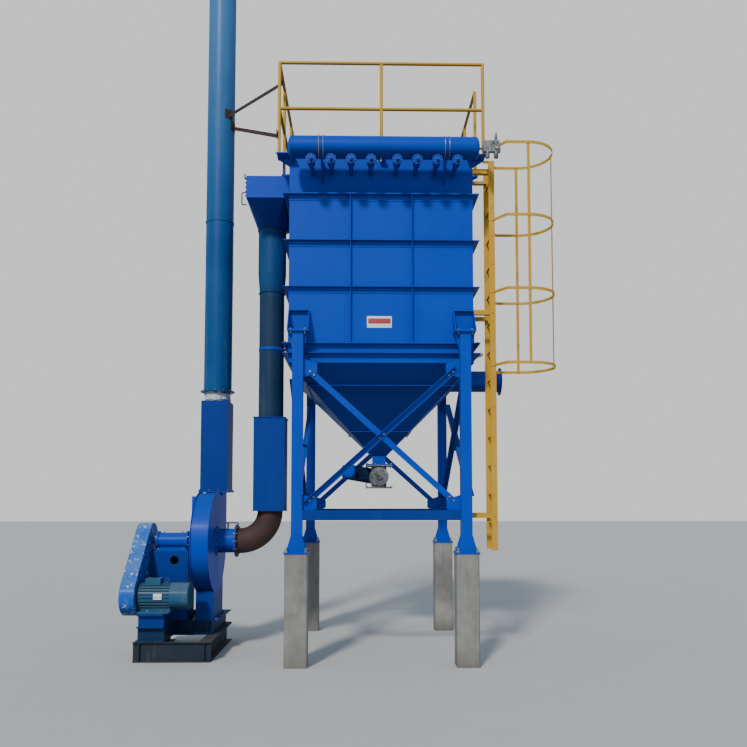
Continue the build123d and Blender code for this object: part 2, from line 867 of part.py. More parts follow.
# Bent plate that carries the geared motor on the lower flange of the valve
with BuildPart() as gearmotor_plate:
    seat = drive_level - gearbox_size / 2
    outer_edge = drive_x - gearbox_size / 2
    inner_edge = filter_x - hopper_flange_size / 2 + drive_plate_thickness
    with BuildSketch(Plane((0, guard_y, 0), x_dir=(1, 0, 0), z_dir=(0, -1, 0))):
        with BuildLine():
            Polyline(
                (outer_edge, seat),
                (inner_edge, seat),
                (inner_edge, valve_bottom + flange_thickness),
                (inner_edge - drive_plate_thickness, valve_bottom + flange_thickness),
                (inner_edge - drive_plate_thickness, seat - drive_plate_thickness),
                (outer_edge, seat - drive_plate_thickness),
                close=True,
            )
        make_face()
    extrude(amount=gearbox_length)
save(gearmotor_plate, "gearmotor_plate")


# Compressed air tank: a tube with dished ends
with BuildPart() as air_tank:
    half_tube = tank_length / 2 - tank_end_depth
    with BuildSketch(Plane((tank_x - half_tube, tank_y, tank_level), x_dir=(0, 1, 0), z_dir=(1, 0, 0))):
        add(tube_section(tank_diameter, tank_wall))
    extrude(amount=2 * half_tube)
    for place in valve_places:
        with BuildSketch(Plane((tank_x + place, tank_y, tank_level))):
            Circle(pulse_neck_diameter / 2)
        extrude(amount=-tank_diameter, mode=Mode.SUBTRACT)
save(air_tank, "air_tank")

with BuildPart() as air_tank_ends:
    for sign in (-1, 1):
        rim_centre = (tank_x + sign * half_tube, tank_y, tank_level)
        with BuildSketch(Plane(rim_centre, x_dir=(sign, 0, 0), z_dir=(0, -sign, 0))):
            for wall, mode in ((0, Mode.ADD), (tank_wall, Mode.SUBTRACT)):
                with BuildLine():
                    depth = tank_end_depth - wall
                    radius = tank_diameter / 2 - wall
                    EllipticalCenterArc((0, 0), depth, radius, arc_size=90)
                    Polyline((0, radius), (0, 0), (depth, 0))
                make_face(mode=mode)
        revolve(axis=Axis(rim_centre, (1, 0, 0)))
    with BuildSketch(Plane((tank_x, tank_y, tank_level), x_dir=(0, 1, 0), z_dir=(1, 0, 0))):
        Circle(air_pipe_diameter / 2)
    extrude(amount=tank_length / 2, mode=Mode.SUBTRACT)
save(air_tank_ends, "air_tank_ends")

# Saddle plates from the plenum out to the tank
with BuildPart() as tank_brackets:
    for sign in (-1, 1):
        edge = (tank_x + sign * tank_bracket_place, tank_y, tank_level)
        with BuildSketch(Plane(edge, x_dir=(0, 1, 0), z_dir=(1, 0, 0))):
            with BuildLine():
                Polyline(
                    (0, -tank_diameter / 2 - tank_bracket_thickness),
                    (tank_offset, -tank_diameter / 2 - tank_bracket_height),
                    (tank_offset, 0),
                    (0, 0),
                    close=True,
                )
            make_face()
            Circle(tank_diameter / 2, mode=Mode.SUBTRACT)
        extrude(amount=tank_bracket_thickness / 2, both=True)
save(tank_brackets, "tank_brackets")


# Pulse valves hung under the tank, their covers and pilots to the front
with BuildPart() as pulse_valves:
    for place in valve_places:
        x = tank_x + place
        with BuildSketch(Plane((x, tank_y, pulse_level))):
            Circle(pulse_neck_diameter / 2)
        extrude(amount=pulse_drop + tank_wall)
        depth = tank_y + pulse_body_length / 2
        for diameter, length in (
            (pulse_body_diameter, pulse_body_length),
            (pulse_cover_diameter, pulse_cover_thickness),
            (pulse_pilot_diameter, pulse_pilot_length),
        ):
            with BuildSketch(Plane((x, depth, pulse_level), x_dir=(1, 0, 0), z_dir=(0, -1, 0))):
                Circle(diameter / 2)
            extrude(amount=length)
            depth -= length
save(pulse_valves, "pulse_valves")

# Blow pipes from the valves into the plenum
with BuildPart() as blow_pipes:
    for place in valve_places:
        start = (tank_x + place, tank_y + pulse_body_length / 2, pulse_level)
        with BuildSketch(Plane(start, x_dir=(1, 0, 0), z_dir=(0, 1, 0))):
            add(tube_section(blow_pipe_diameter, blow_pipe_wall))
        extrude(amount=tank_offset - pulse_body_length / 2 + blow_pipe_inset)
        collar_start = (tank_x + place, front_face, pulse_level)
        with BuildSketch(Plane(collar_start, x_dir=(1, 0, 0), z_dir=(0, -1, 0))):
            add(tube_section(blow_collar_diameter, (blow_collar_diameter - blow_pipe_diameter) / 2))
        extrude(amount=blow_collar_length)
save(blow_pipes, "blow_pipes")


# Air regulator and filter on a plate at the corner of the handrail, piped to the tank
rail_corner_x = filter_x + rail_x
regulator_x = rail_corner_x + regulator_gap
regulator_bottom = tank_level - regulator_body_height / 2
regulator_top = tank_level + regulator_body_height / 2
with BuildPart() as air_regulator:
    for x in (regulator_x, regulator_x + regulator_pitch):
        with BuildSketch(Plane((x, tank_y, regulator_bottom))):
            RectangleRounded(regulator_pitch, regulator_bowl_diameter, regulator_corner)
        extrude(amount=regulator_body_height)
        with BuildSketch(Plane((x, tank_y, regulator_bottom))):
            Circle(regulator_bowl_diameter / 2)
        extrude(amount=-regulator_bowl_height)
    with BuildSketch(Plane((regulator_x + regulator_pitch, tank_y, regulator_top))):
        Circle(regulator_knob_diameter / 2)
    extrude(amount=regulator_knob_height)
    plate_front = tank_y + regulator_bowl_diameter / 2
    plate_back = plate_front + regulator_plate_thickness
    plate_top = roof_level + regulator_plate_rise
    body_left = regulator_x - regulator_pitch / 2
    body_right = regulator_x + 3 * regulator_pitch / 2
    box((body_left, body_right), (plate_front, plate_back), (regulator_bottom, plate_top))
    box(
        around(rail_corner_x, regulator_plate_thickness),
        (plate_front, near_y),
        (roof_level, plate_top),
    )
    with BuildSketch(Plane((rail_corner_x, near_y, roof_level))):
        Circle(rail_tube / 2)
    extrude(amount=regulator_plate_rise, mode=Mode.SUBTRACT)
    pipe_start = tank_x + tank_length / 2 - 2 * tank_wall
    with BuildSketch(Plane((pipe_start, tank_y, tank_level), x_dir=(0, 1, 0), z_dir=(1, 0, 0))):
        Circle(air_pipe_diameter / 2)
    extrude(amount=body_left - pipe_start)
save(air_regulator, "air_regulator")


# Handrail around the roof
def round_bar(start, end):
    """Solid round bar of the handrail's size."""
    run_profile(rail_section, start, end, (1, 1, 0) if start[2] != end[2] else (0, 0, 1))


def build_rails(label, posts, runs):
    """Posts at the given places and rails at both levels between the given ends."""
    with BuildPart() as rails:
        for x, y in posts:
            round_bar((x, y, roof_level), (x, y, rail_top))
            with Locations((x, y, rail_top)):
                Sphere(rail_tube / 2)
        for start, end in runs:
            for level in (rail_top, roof_level + mid_rail_height):
                round_bar((*start, level), (*end, level))
    save(rails, label)


with BuildSketch() as rail_circle:
    Circle(rail_tube / 2)
rail_section = rail_circle.sketch
gap = rail_tube / 2
build_rails(
    "handrail_front",
    [(left_x, near_y), (filter_x, near_y), (right_x, near_y)],
    [((left_x, near_y), (right_x, near_y))],
)
build_rails(
    "handrail_rear",
    [(left_x, far_y), (filter_x, far_y), (right_x, far_y)],
    [((left_x, far_y), (right_x, far_y))],
)
build_rails(
    "handrail_left",
    [(left_x, gate_y), (left_x, middle_y)],
    [((left_x, near_y + gap), (left_x, far_y - gap))],
)
build_rails(
    "handrail_right",
    [(right_x, gate_y), (right_x, middle_y)],
    [((right_x, gate_y), (right_x, far_y - gap))],
)

# Plates with gussets that carry the posts on the walls of the plenum
def rail_gusset(foot, outward):
    """Three cornered gusset under a post: x outward from the wall, y down."""
    reach = rail_overhang + rail_bracket_edge
    side = (-outward[1], outward[0], 0)
    level = roof_level - rail_bracket_thickness
    with BuildSketch(Plane((*foot, level), x_dir=outward, z_dir=side)) as outline:
        with BuildLine():
            Polyline((0, 0), (reach, 0), (0, rail_gusset_height), close=True)
        make_face()
    extrude(to_extrude=outline.sketch, amount=rail_gusset_thickness / 2, both=True)


with BuildPart() as handrail_brackets:
    corner_x = rail_x + rail_bracket_edge
    corner_y = rail_y + rail_bracket_edge
    inner_x = housing_width / 2 - rail_foot
    inner_y = housing_depth / 2 - rail_foot
    with BuildSketch(Plane((filter_x, filter_y, roof_level - rail_bracket_thickness))):
        for sign_x in (-1, 1):
            for sign_y in (-1, 1):
                with BuildLine():
                    Polyline(
                        (sign_x * corner_x, sign_y * corner_y),
                        (sign_x * corner_x, sign_y * inner_y),
                        (sign_x * housing_width / 2, sign_y * inner_y),
                        (sign_x * housing_width / 2, sign_y * housing_depth / 2),
                        (sign_x * inner_x, sign_y * housing_depth / 2),
                        (sign_x * inner_x, sign_y * corner_y),
                        close=True,
                    )
                make_face()
        for y in (gate_y, middle_y):
            for sign_x in (-1, 1):
                with Locations((sign_x * (housing_width / 2 + corner_x) / 2, y - filter_y)):
                    Rectangle(corner_x - housing_width / 2, rail_foot)
        for sign_y in (-1, 1):
            with Locations((0, sign_y * (housing_depth / 2 + corner_y) / 2)):
                Rectangle(rail_foot, corner_y - housing_depth / 2)
    extrude(amount=rail_bracket_thickness)
    gusset_inset = rail_foot / 2
    for sign in (-1, 1):
        wall_x = filter_x + sign * housing_width / 2
        for y in (front_face + gusset_inset, gate_y, middle_y, rear_face - gusset_inset):
            rail_gusset((wall_x, y), (sign, 0, 0))
        wall_y = filter_y + sign * housing_depth / 2
        for x in (left_face + gusset_inset, filter_x, right_face - gusset_inset):
            rail_gusset((x, wall_y), (0, sign, 0))
save(handrail_brackets, "handrail_brackets")


# Ladder
stringer_gap = (ladder_width - stringer_thickness) / 2
ladder_top = roof_level - ladder_drop
with BuildPart() as ladder:
    with BuildSketch(Plane((ladder_x, ladder_y, ladder_bottom))):
        with GridLocations(1, 2 * stringer_gap, 1, 2):
            Rectangle(stringer_width, stringer_thickness)
    extrude(amount=ladder_top - ladder_bottom)
    rung_count = int((ladder_top - ladder_bottom - rung_start_height) // rung_pitch) + 1
    for row in range(rung_count):
        level = ladder_bottom + rung_start_height + row * rung_pitch
        with BuildSketch(Plane((ladder_x, ladder_y, level), x_dir=(1, 0, 0), z_dir=(0, 1, 0))):
            Circle(rung_diameter / 2)
        extrude(amount=stringer_gap, both=True)
save(ladder, "ladder")

# Safety cage: flat bar hoops with straps inside them
with BuildPart() as ladder_cage:
    bend_radius = (cage_width - cage_bar_thickness) / 2
    bend_x = cage_reach - cage_bar_thickness / 2 - bend_radius
    side_y = ladder_width / 2 + cage_bar_thickness / 2
    for row in range(hoop_count):
        level = cage_bottom + row * hoop_pitch
        with BuildSketch(Plane((ladder_x, ladder_y, level))):
            with BuildLine():
                CenterArc((bend_x, 0), bend_radius, -90, 180)
                for turn in (-1, 1):
                    Polyline(
                        (-stringer_width / 2, turn * side_y),
                        (stringer_width / 2, turn * side_y),
                        (cage_flare, turn * bend_radius),
                        (bend_x, turn * bend_radius),
                    )
            trace(line_width=cage_bar_thickness)
        extrude(amount=cage_bar_width)
    with BuildSketch(Plane((ladder_x, ladder_y, cage_bottom))):
        with Locations((bend_x, 0)):
            for strap in range(cage_strap_count):
                turn = 180 * strap / (cage_strap_count - 1) - 90
                with PolarLocations(bend_radius - cage_bar_thickness, 1, start_angle=turn):
                    Rectangle(cage_bar_thickness, cage_strap_width)
    extrude(amount=(hoop_count - 1) * hoop_pitch + cage_bar_width)
save(ladder_cage, "ladder_cage")

# Angles that hold the ladder to the housing and to the tie
with BuildPart() as ladder_brackets:
    bracket = angle_section(ladder_bracket_leg, ladder_bracket_thickness)
    tie_face = filter_x + (column_spacing_x + column_size) / 2
    for level, start_x in (
        (tie_level + ladder_bracket_lap, tie_face),
        (housing_bottom + lower_bracket_rise, right_face),
        (roof_level - upper_bracket_drop, right_face),
    ):
        for sign in (-1, 1):
            y = ladder_y + sign * (ladder_width / 2 - stringer_thickness)
            near = (start_x, y, level)
            far = (ladder_x, y, level)
            if sign < 0:
                run_profile(bracket, near, far, (0, 1, 0))
            else:
                run_profile(bracket, far, near, (0, -1, 0))
save(ladder_brackets, "ladder_brackets")


# Clean air outlet: a wide hood narrowing to the round duct
with BuildPart() as outlet_hood:
    hood_x = left_face - outlet_reach / 2
    funnel_x = hood_x - outlet_shelf / 2
    for wall, mode in ((0, Mode.ADD), (duct_wall, Mode.SUBTRACT)):
        with BuildSketch(Plane((hood_x, duct_y, outlet_bottom + wall))):
            Rectangle(outlet_reach - 2 * wall, outlet_depth - 2 * wall)
        extrude(amount=outlet_height - 2 * wall, mode=mode)
        with BuildSketch(Plane((funnel_x, duct_y, outlet_bottom + wall))):
            Rectangle(outlet_reach - outlet_shelf - 2 * wall, outlet_depth - 2 * wall)
        with BuildSketch(Plane((duct_x, duct_y, outlet_neck_level))):
            Circle(duct_diameter / 2 - wall)
        loft(mode=mode)
    with BuildSketch(face_plane("left")):
        with Locations((duct_shift_y, (outlet_bottom + outlet_top) / 2)):
            Rectangle(outlet_depth - 2 * outlet_rim, outlet_height - 2 * outlet_rim)
    extrude(amount=outlet_rim, mode=Mode.SUBTRACT)
save(outlet_hood, "outlet_hood")


# Round duct from the hood down to the box above the fan, with a reducer
def ring(centre, diameter, wall, height):
    """Upright round tube or flange on a centre."""
    with BuildSketch(Plane(centre)) as section:
        add(tube_section(diameter, wall))
    extrude(to_extrude=section.sketch, amount=height)


with BuildPart() as downcomer:
    with BuildSketch(Plane((duct_x, duct_y, 0), x_dir=(1, 0, 0), z_dir=(0, -1, 0))):
        with BuildLine():
            Polyline(
                (duct_diameter / 2, outlet_neck_level),
                (duct_diameter / 2, reducer_top),
                (downcomer_diameter / 2, reducer_bottom),
                (downcomer_diameter / 2, duct_box_top),
                (downcomer_diameter / 2 - duct_wall, duct_box_top),
                (downcomer_diameter / 2 - duct_wall, reducer_bottom),
                (duct_diameter / 2 - duct_wall, reducer_top),
                (duct_diameter / 2 - duct_wall, outlet_neck_level),
                close=True,
            )
        make_face()
    revolve(axis=Axis((duct_x, duct_y, 0), (0, 0, 1)))
    for level, diameter in (
        (outlet_neck_level - duct_flange_thickness, duct_diameter),
        (reducer_bottom - duct_flange_thickness, downcomer_diameter),
    ):
        collar_diameter = diameter + 2 * duct_ring_width
        ring((duct_x, duct_y, level), collar_diameter, duct_ring_width, duct_flange_thickness)
save(downcomer, "downcomer")

# Clamp that holds the duct on the housing
with BuildPart() as duct_clamp:
    clamp_diameter = downcomer_diameter + 2 * duct_clamp_thickness
    duct_clamp_level = housing_bottom + duct_clamp_rise
    ring((duct_x, duct_y, duct_clamp_level), clamp_diameter, duct_clamp_thickness, duct_clamp_height)
    box(
        (duct_x + downcomer_diameter / 2 + duct_clamp_thickness / 2, left_face - stiffener_thickness),
        around(duct_y, duct_clamp_thickness),
        (duct_clamp_level, duct_clamp_level + duct_clamp_height),
    )
save(duct_clamp, "duct_clamp")

with BuildPart() as downcomer_box:
    with BuildSketch(Plane((duct_x, duct_y, duct_box_bottom))):
        Rectangle(duct_box_size, duct_box_size)
    extrude(amount=duct_box_height)
    with BuildSketch(Plane((duct_x, duct_y, duct_box_bottom + duct_wall))):
        Rectangle(duct_box_size - 2 * duct_wall, duct_box_size - 2 * duct_wall)
    extrude(amount=duct_box_height - 2 * duct_wall, mode=Mode.SUBTRACT)
    with BuildSketch(Plane((duct_x, duct_y, duct_box_bottom))):
        Circle(downcomer_diameter / 2 - duct_wall)
    extrude(amount=duct_box_height, mode=Mode.SUBTRACT)
    for level in (duct_box_bottom, duct_box_top - duct_flange_thickness):
        with BuildSketch(Plane((duct_x, duct_y, level))):
            Rectangle(duct_box_size + 2 * duct_box_rim, duct_box_size + 2 * duct_box_rim)
            Rectangle(duct_box_size, duct_box_size, mode=Mode.SUBTRACT)
        extrude(amount=duct_flange_thickness)
save(downcomer_box, "downcomer_box")


# Elbow into the fan, with its flange
elbow_x = duct_x - elbow_radius
with BuildPart() as fan_inlet_elbow:
    with BuildSketch(Plane((duct_x, duct_y, duct_box_bottom))):
        add(tube_section(downcomer_diameter, duct_wall))
    revolve(axis=Axis((elbow_x, duct_y, duct_box_bottom), (0, 1, 0)), revolution_arc=90)
    with BuildSketch(Plane((elbow_x, duct_y, fan_level), x_dir=(0, 1, 0), z_dir=(-1, 0, 0))):
        add(tube_section(downcomer_diameter, duct_wall))
    extrude(amount=elbow_end)
    flange_x = elbow_x - elbow_end + duct_flange_thickness
    with BuildSketch(Plane((flange_x, duct_y, fan_level), x_dir=(0, 1, 0), z_dir=(-1, 0, 0))):
        add(tube_section(downcomer_diameter + 2 * duct_flange_width, duct_flange_width))
    extrude(amount=duct_flange_thickness)
save(fan_inlet_elbow, "fan_inlet_elbow")

# Round inlet of the fan, bolted between the elbow and the casing
with BuildPart() as fan_inlet_ring:
    stub_start = elbow_x - elbow_end
    elbow_flange = downcomer_diameter + 2 * duct_flange_width
    casing_flange = inlet_ring_diameter + 2 * inlet_flange_width
    for start_x, diameter, length in (
        (stub_start, elbow_flange, duct_flange_thickness),
        (stub_start, inlet_ring_diameter, stub_start - casing_right),
        (casing_right + duct_flange_thickness, casing_flange, duct_flange_thickness),
    ):
        with BuildSketch(Plane((start_x, duct_y, fan_level), x_dir=(0, 1, 0), z_dir=(-1, 0, 0))):
            Circle(diameter / 2)
            Circle(inlet_ring_diameter / 2 - duct_wall, mode=Mode.SUBTRACT)
        extrude(amount=length)
save(fan_inlet_ring, "fan_inlet_ring")


# Fan casing: a scroll of four arcs, each struck from a corner of a small square
def scroll_outline(inset):
    """Outline of the casing around the fan's axis, its discharge upward at the rear."""
    corner = scroll_step / 2
    mouth = discharge_bottom - fan_level
    rear = scroll_rear - inset
    tongue = rear - discharge_depth + 2 * inset
    tongue_radius = scroll_radius - scroll_step - inset
    tongue_angle = degrees(acos((tongue + corner) / tongue_radius))
    with BuildSketch() as outline:
        with BuildLine():
            first = CenterArc((-corner, corner), tongue_radius, tongue_angle, 90 - tongue_angle)
            CenterArc((-corner, -corner), scroll_radius - inset, 90, 90)
            CenterArc((corner, -corner), scroll_radius + scroll_step - inset, 180, 90)
            CenterArc((corner, corner), scroll_radius + 2 * scroll_step - inset, 270, 90)
            Polyline((rear, corner), (rear, mouth), (tongue, mouth), first @ 0)
        make_face()
    return outline.sketch


with BuildPart() as fan_casing:
    with BuildSketch(Plane((casing_left, fan_y, fan_level), x_dir=(0, 1, 0), z_dir=(1, 0, 0))):
        add(scroll_outline(0))
    extrude(amount=casing_width)
    for side_x in (casing_left, casing_right - casing_wall):
        with BuildSketch(Plane((side_x, fan_y, fan_level), x_dir=(0, 1, 0), z_dir=(1, 0, 0))):
            add(scroll_outline(-casing_rim))
        extrude(amount=casing_wall)
    cavity_x = casing_left + casing_wall
    with BuildSketch(Plane((cavity_x, fan_y, fan_level), x_dir=(0, 1, 0), z_dir=(1, 0, 0))):
        add(scroll_outline(casing_wall))
    extrude(amount=casing_width - 2 * casing_wall, mode=Mode.SUBTRACT)
    for start_x, diameter in (
        (fan_x, inlet_ring_diameter - 2 * duct_wall),
        (casing_left, shaft_diameter),
    ):
        with BuildSketch(Plane((start_x, fan_y, fan_level), x_dir=(0, 1, 0), z_dir=(1, 0, 0))):
            Circle(diameter / 2)
        extrude(amount=casing_width / 2, mode=Mode.SUBTRACT)
    with BuildSketch(Plane((stack_x, stack_y, discharge_bottom))):
        Rectangle(discharge_width + 2 * casing_flange_width, discharge_box_depth + 2 * casing_flange_width)
        Rectangle(casing_width - 2 * casing_wall, discharge_depth - 2 * casing_wall, mode=Mode.SUBTRACT)
    extrude(amount=-flange_thickness)
save(fan_casing, "fan_casing")

# Stand of plate under the casing, cut to the scroll, with foot flanges along its sides
with BuildPart() as fan_legs:
    stand_y = (fan_y - stand_front, fan_y + stand_back)
    box((casing_left, casing_right), stand_y, (frame_top, fan_level))
    box(
        (casing_left + stand_wall, casing_right - stand_wall),
        (stand_y[0] + stand_wall, stand_y[1] - stand_wall),
        (frame_top, fan_level),
        mode=Mode.SUBTRACT,
    )
    for foot_x in (
        (casing_left - stand_foot_width, casing_left),
        (casing_right, casing_right + stand_foot_width),
    ):
        box(foot_x, stand_y, (frame_top, frame_top + stand_foot_thickness))
    with BuildSketch(Plane((casing_left, fan_y, fan_level), x_dir=(0, 1, 0), z_dir=(1, 0, 0))):
        add(scroll_outline(-casing_rim))
    extrude(amount=casing_width, mode=Mode.SUBTRACT)
save(fan_legs, "fan_legs")

# Box above the discharge, under the flexible sleeve
with BuildPart() as discharge_box:
    with BuildSketch(Plane((stack_x, stack_y, discharge_bottom))):
        Rectangle(discharge_width, discharge_box_depth)
        Rectangle(discharge_width - 2 * duct_wall, discharge_box_depth - 2 * duct_wall, mode=Mode.SUBTRACT)
    extrude(amount=discharge_box_height)
    with BuildSketch(Plane((stack_x, stack_y, discharge_top))):
        Rectangle(discharge_width, discharge_box_depth)
        Circle(sleeve_diameter / 2 - 2 * sleeve_wall, mode=Mode.SUBTRACT)
    extrude(amount=-duct_wall)
    with BuildSketch(Plane((stack_x, stack_y, discharge_bottom))):
        Rectangle(discharge_width + 2 * casing_flange_width, discharge_box_depth + 2 * casing_flange_width)
        Rectangle(discharge_width, discharge_box_depth, mode=Mode.SUBTRACT)
    extrude(amount=flange_thickness)
save(discharge_box, "discharge_box")

# Flexible sleeve with its bands, between the box and the stack
with BuildPart() as flexible_sleeve:
    ring((stack_x, stack_y, discharge_top), sleeve_diameter, sleeve_wall, sleeve_height)
    band_diameter = sleeve_diameter + 2 * sleeve_band_thickness
    for level in (discharge_top, stack_bottom - sleeve_band_height):
        ring((stack_x, stack_y, level), band_diameter, sleeve_band_thickness, sleeve_band_height)
save(flexible_sleeve, "flexible_sleeve")

# Stack with its bottom flange, a lapped seam and a bolted joint
with BuildPart() as stack:
    ring((stack_x, stack_y, stack_bottom), stack_diameter, stack_wall, stack_height)
    ring(
        (stack_x, stack_y, stack_bottom),
        stack_diameter + 2 * stack_flange_width,
        stack_flange_width + (stack_diameter - sleeve_diameter) / 2,
        flange_thickness,
    )
    for rise in (stack_seam_rise, stack_joint_rise):
        joint = (stack_x, stack_y, stack_bottom + rise)
        ring(joint, stack_diameter + 2 * stack_joint_width, stack_joint_width, stack_joint_height)
save(stack, "stack")

# Stays from pads on the stack to plates on the handrail
with BuildPart() as stack_stays:
    stay = angle_section(stay_leg, stay_thickness)
    stack_axis = Axis((stack_x, stack_y, 0), (0, 0, 1))
    rail_side = left_x - rail_tube / 2
    for rise, turn, end_y, end_level in (
        (upper_stay_rise, upper_stay_turn, near_y + upper_stay_inset, rail_top),
        (lower_stay_rise, lower_stay_turn, near_y, roof_level + lower_stay_end_rise),
    ):
        level = roof_level + rise
        toward = Vector(1, 0, 0).rotate(Axis.Z, turn)
        pad_edge = Vector(1, 0, 0).rotate(Axis.Z, turn - stay_pad_arc / 2)
        origin = (stack_x, stack_y, level)
        pad_radius = stack_diameter / 2 + stay_pad_thickness / 2
        pad_plane = Plane(origin, x_dir=tuple(pad_edge), z_dir=tuple(pad_edge.cross(Vector(0, 0, 1))))
        with BuildSketch(pad_plane):
            with Locations((pad_radius, 0)):
                Rectangle(stay_pad_thickness, stay_pad_height)
        revolve(axis=stack_axis, revolution_arc=stay_pad_arc)
        start = Vector(*origin) + toward * pad_radius
        run_profile(stay, start, (left_x, end_y, end_level), (0, 0, -1))
        box(
            (rail_side - stay_plate_thickness, rail_side),
            around(end_y, stay_plate_width),
            around(end_level, stay_plate_height),
        )
        box(
            (rail_side, left_x + stay_plate_width),
            around(end_y, 3 * stay_plate_width),
            around(end_level, 3 * stay_plate_height),
            mode=Mode.SUBTRACT,
        )
        with BuildSketch(Plane((stack_x, stack_y, level - stay_pad_height))):
            Circle(stack_diameter / 2)
        extrude(amount=2 * stay_pad_height, mode=Mode.SUBTRACT)
save(stack_stays, "stack_stays")


# Hollow post that carries the fan's bearings, with a hole in its front
with BuildPart() as bearing_post:
    box(
        around(post_x, bearing_post_width),
        around(fan_y, bearing_post_depth),
        (frame_top, bearing_post_top),
    )
    box(
        around(post_x, bearing_post_width - 2 * bearing_post_wall),
        around(fan_y, bearing_post_depth - 2 * bearing_post_wall),
        (frame_top, bearing_post_top - 2 * bearing_post_wall),
        mode=Mode.SUBTRACT,
    )
    hole_level = bearing_post_top - bearing_hole_drop
    hole = (post_x + bearing_hole_offset, fan_y - bearing_post_depth / 2, hole_level)
    with BuildSketch(Plane(hole, x_dir=(1, 0, 0), z_dir=(0, 1, 0))):
        Circle(bearing_hole_diameter / 2)
    extrude(amount=bearing_post_wall, mode=Mode.SUBTRACT)
save(bearing_post, "bearing_post")

# Bearing housing with its foot, end flanges and caps, and the shaft out of both its ends
with BuildPart() as bearing_housing:
    with BuildSketch(Plane((post_x, fan_y, fan_level), x_dir=(0, 1, 0), z_dir=(1, 0, 0))):
        Circle(bearing_diameter / 2)
        with Locations((0, bearing_post_top - fan_level)):
            Rectangle(bearing_web_width, fan_level - bearing_post_top, align=(Align.CENTER, Align.MIN))
            Rectangle(bearing_foot_width, bearing_foot_thickness, align=(Align.CENTER, Align.MIN))
    extrude(amount=bearing_length / 2, both=True)
    with BuildSketch(Plane((post_x, fan_y, fan_level), x_dir=(0, 1, 0), z_dir=(1, 0, 0))):
        Circle(bearing_cap_diameter / 2)
    extrude(amount=bearing_length / 2 + bearing_cap_length, both=True)
    for side_x in (post_x - bearing_length / 2, post_x + bearing_length / 2 - bearing_flange_length):
        with BuildSketch(Plane((side_x, fan_y, fan_level), x_dir=(0, 1, 0), z_dir=(1, 0, 0))):
            Circle(bearing_flange_diameter / 2)
        extrude(amount=bearing_flange_length)
save(bearing_housing, "bearing_housing")

with BuildPart() as fan_shaft:
    for start_x, end_x in (
        (guard_right, post_x - bearing_length / 2 - bearing_cap_length),
        (post_x + bearing_length / 2 + bearing_cap_length, casing_left + casing_wall),
    ):
        with BuildSketch(Plane((start_x, fan_y, fan_level), x_dir=(0, 1, 0), z_dir=(1, 0, 0))):
            Circle(shaft_diameter / 2)
        extrude(amount=end_x - start_x)
save(fan_shaft, "fan_shaft")

# Belt guard over both pulleys, with stays that hold it to the post and to the motor's seat
with BuildPart() as belt_guard:
    fall = (motor_y - fan_y, motor_level - fan_level)
    with BuildSketch(Plane((guard_right, fan_y, fan_level), x_dir=(0, 1, 0), z_dir=(1, 0, 0))):
        with BuildLine():
            Line((0, 0), fall)
        trace(line_width=2 * guard_radius)
        with Locations((0, 0), fall):
            Circle(guard_radius)
    extrude(amount=-guard_thickness)
    chamfer(belt_guard.faces().sort_by(Axis.X)[0].edges(), guard_edge)
    box(
        (guard_right, guard_right + guard_clearance),
        around(fan_y, bearing_post_depth - 2 * bearing_post_wall),
        (bearing_post_top - 2 * guard_stay_height, bearing_post_top - guard_stay_height),
    )
    box(
        (guard_right, motor_left),
        around(motor_y, guard_stay_height),
        (motor_seat - motor_plate_thickness, motor_seat),
    )
save(belt_guard, "belt_guard")


# Electric motor of the fan, with fins, a cowl and a terminal box
with BuildPart() as fan_motor:
    motor_plane = Plane((motor_left, motor_y, motor_level), x_dir=(0, 1, 0), z_dir=(1, 0, 0))
    motor_top = motor_level + motor_diameter / 2
    drum_radius = motor_diameter / 2 - motor_fin_depth
    with BuildSketch(motor_plane):
        Circle(drum_radius)
        with PolarLocations(drum_radius, motor_fin_count):
            Rectangle(2 * motor_fin_depth, motor_fin_thickness)
        with Locations((0, -motor_shaft_height)):
            Rectangle(motor_web_width, motor_shaft_height, align=(Align.CENTER, Align.MIN))
            Rectangle(motor_foot_width, motor_foot_thickness, align=(Align.CENTER, Align.MIN))
    extrude(amount=motor_body_length)
    with BuildSketch(motor_plane.offset(motor_body_length)):
        Circle(motor_diameter / 2)
    extrude(amount=motor_cowl_length)
    fillet(fan_motor.faces().sort_by(Axis.X)[-1].edges(), motor_fin_depth)
    with BuildSketch(Plane((motor_left, motor_y, motor_level), x_dir=(0, 1, 0), z_dir=(-1, 0, 0))):
        Circle(motor_shaft_diameter / 2)
    extrude(amount=guard_clearance)
    box(
        around(motor_left + terminal_box_inset, terminal_box_length),
        around(motor_y, terminal_box_width),
        (motor_level + drum_radius - motor_fin_depth, motor_top + terminal_box_height),
    )
save(fan_motor, "fan_motor")

# Two channels and a plate that raise the motor above the frame
with BuildPart() as motor_base:
    motor_channel = channel_section(motor_channel_height, motor_channel_flange, frame_thickness)
    channel_level = frame_top + motor_channel_height / 2
    for y, start_x, end_x in (
        (motor_y - motor_channel_spacing / 2, motor_left, motor_bay_right),
        (motor_y + motor_channel_spacing / 2, motor_bay_right, motor_left),
    ):
        run_profile(motor_channel, (start_x, y, channel_level), (end_x, y, channel_level), (0, 0, 1))
    box(
        (motor_left, motor_bay_right),
        around(motor_y, motor_foot_width),
        (motor_seat - motor_plate_thickness, motor_seat),
    )
save(motor_base, "motor_base")


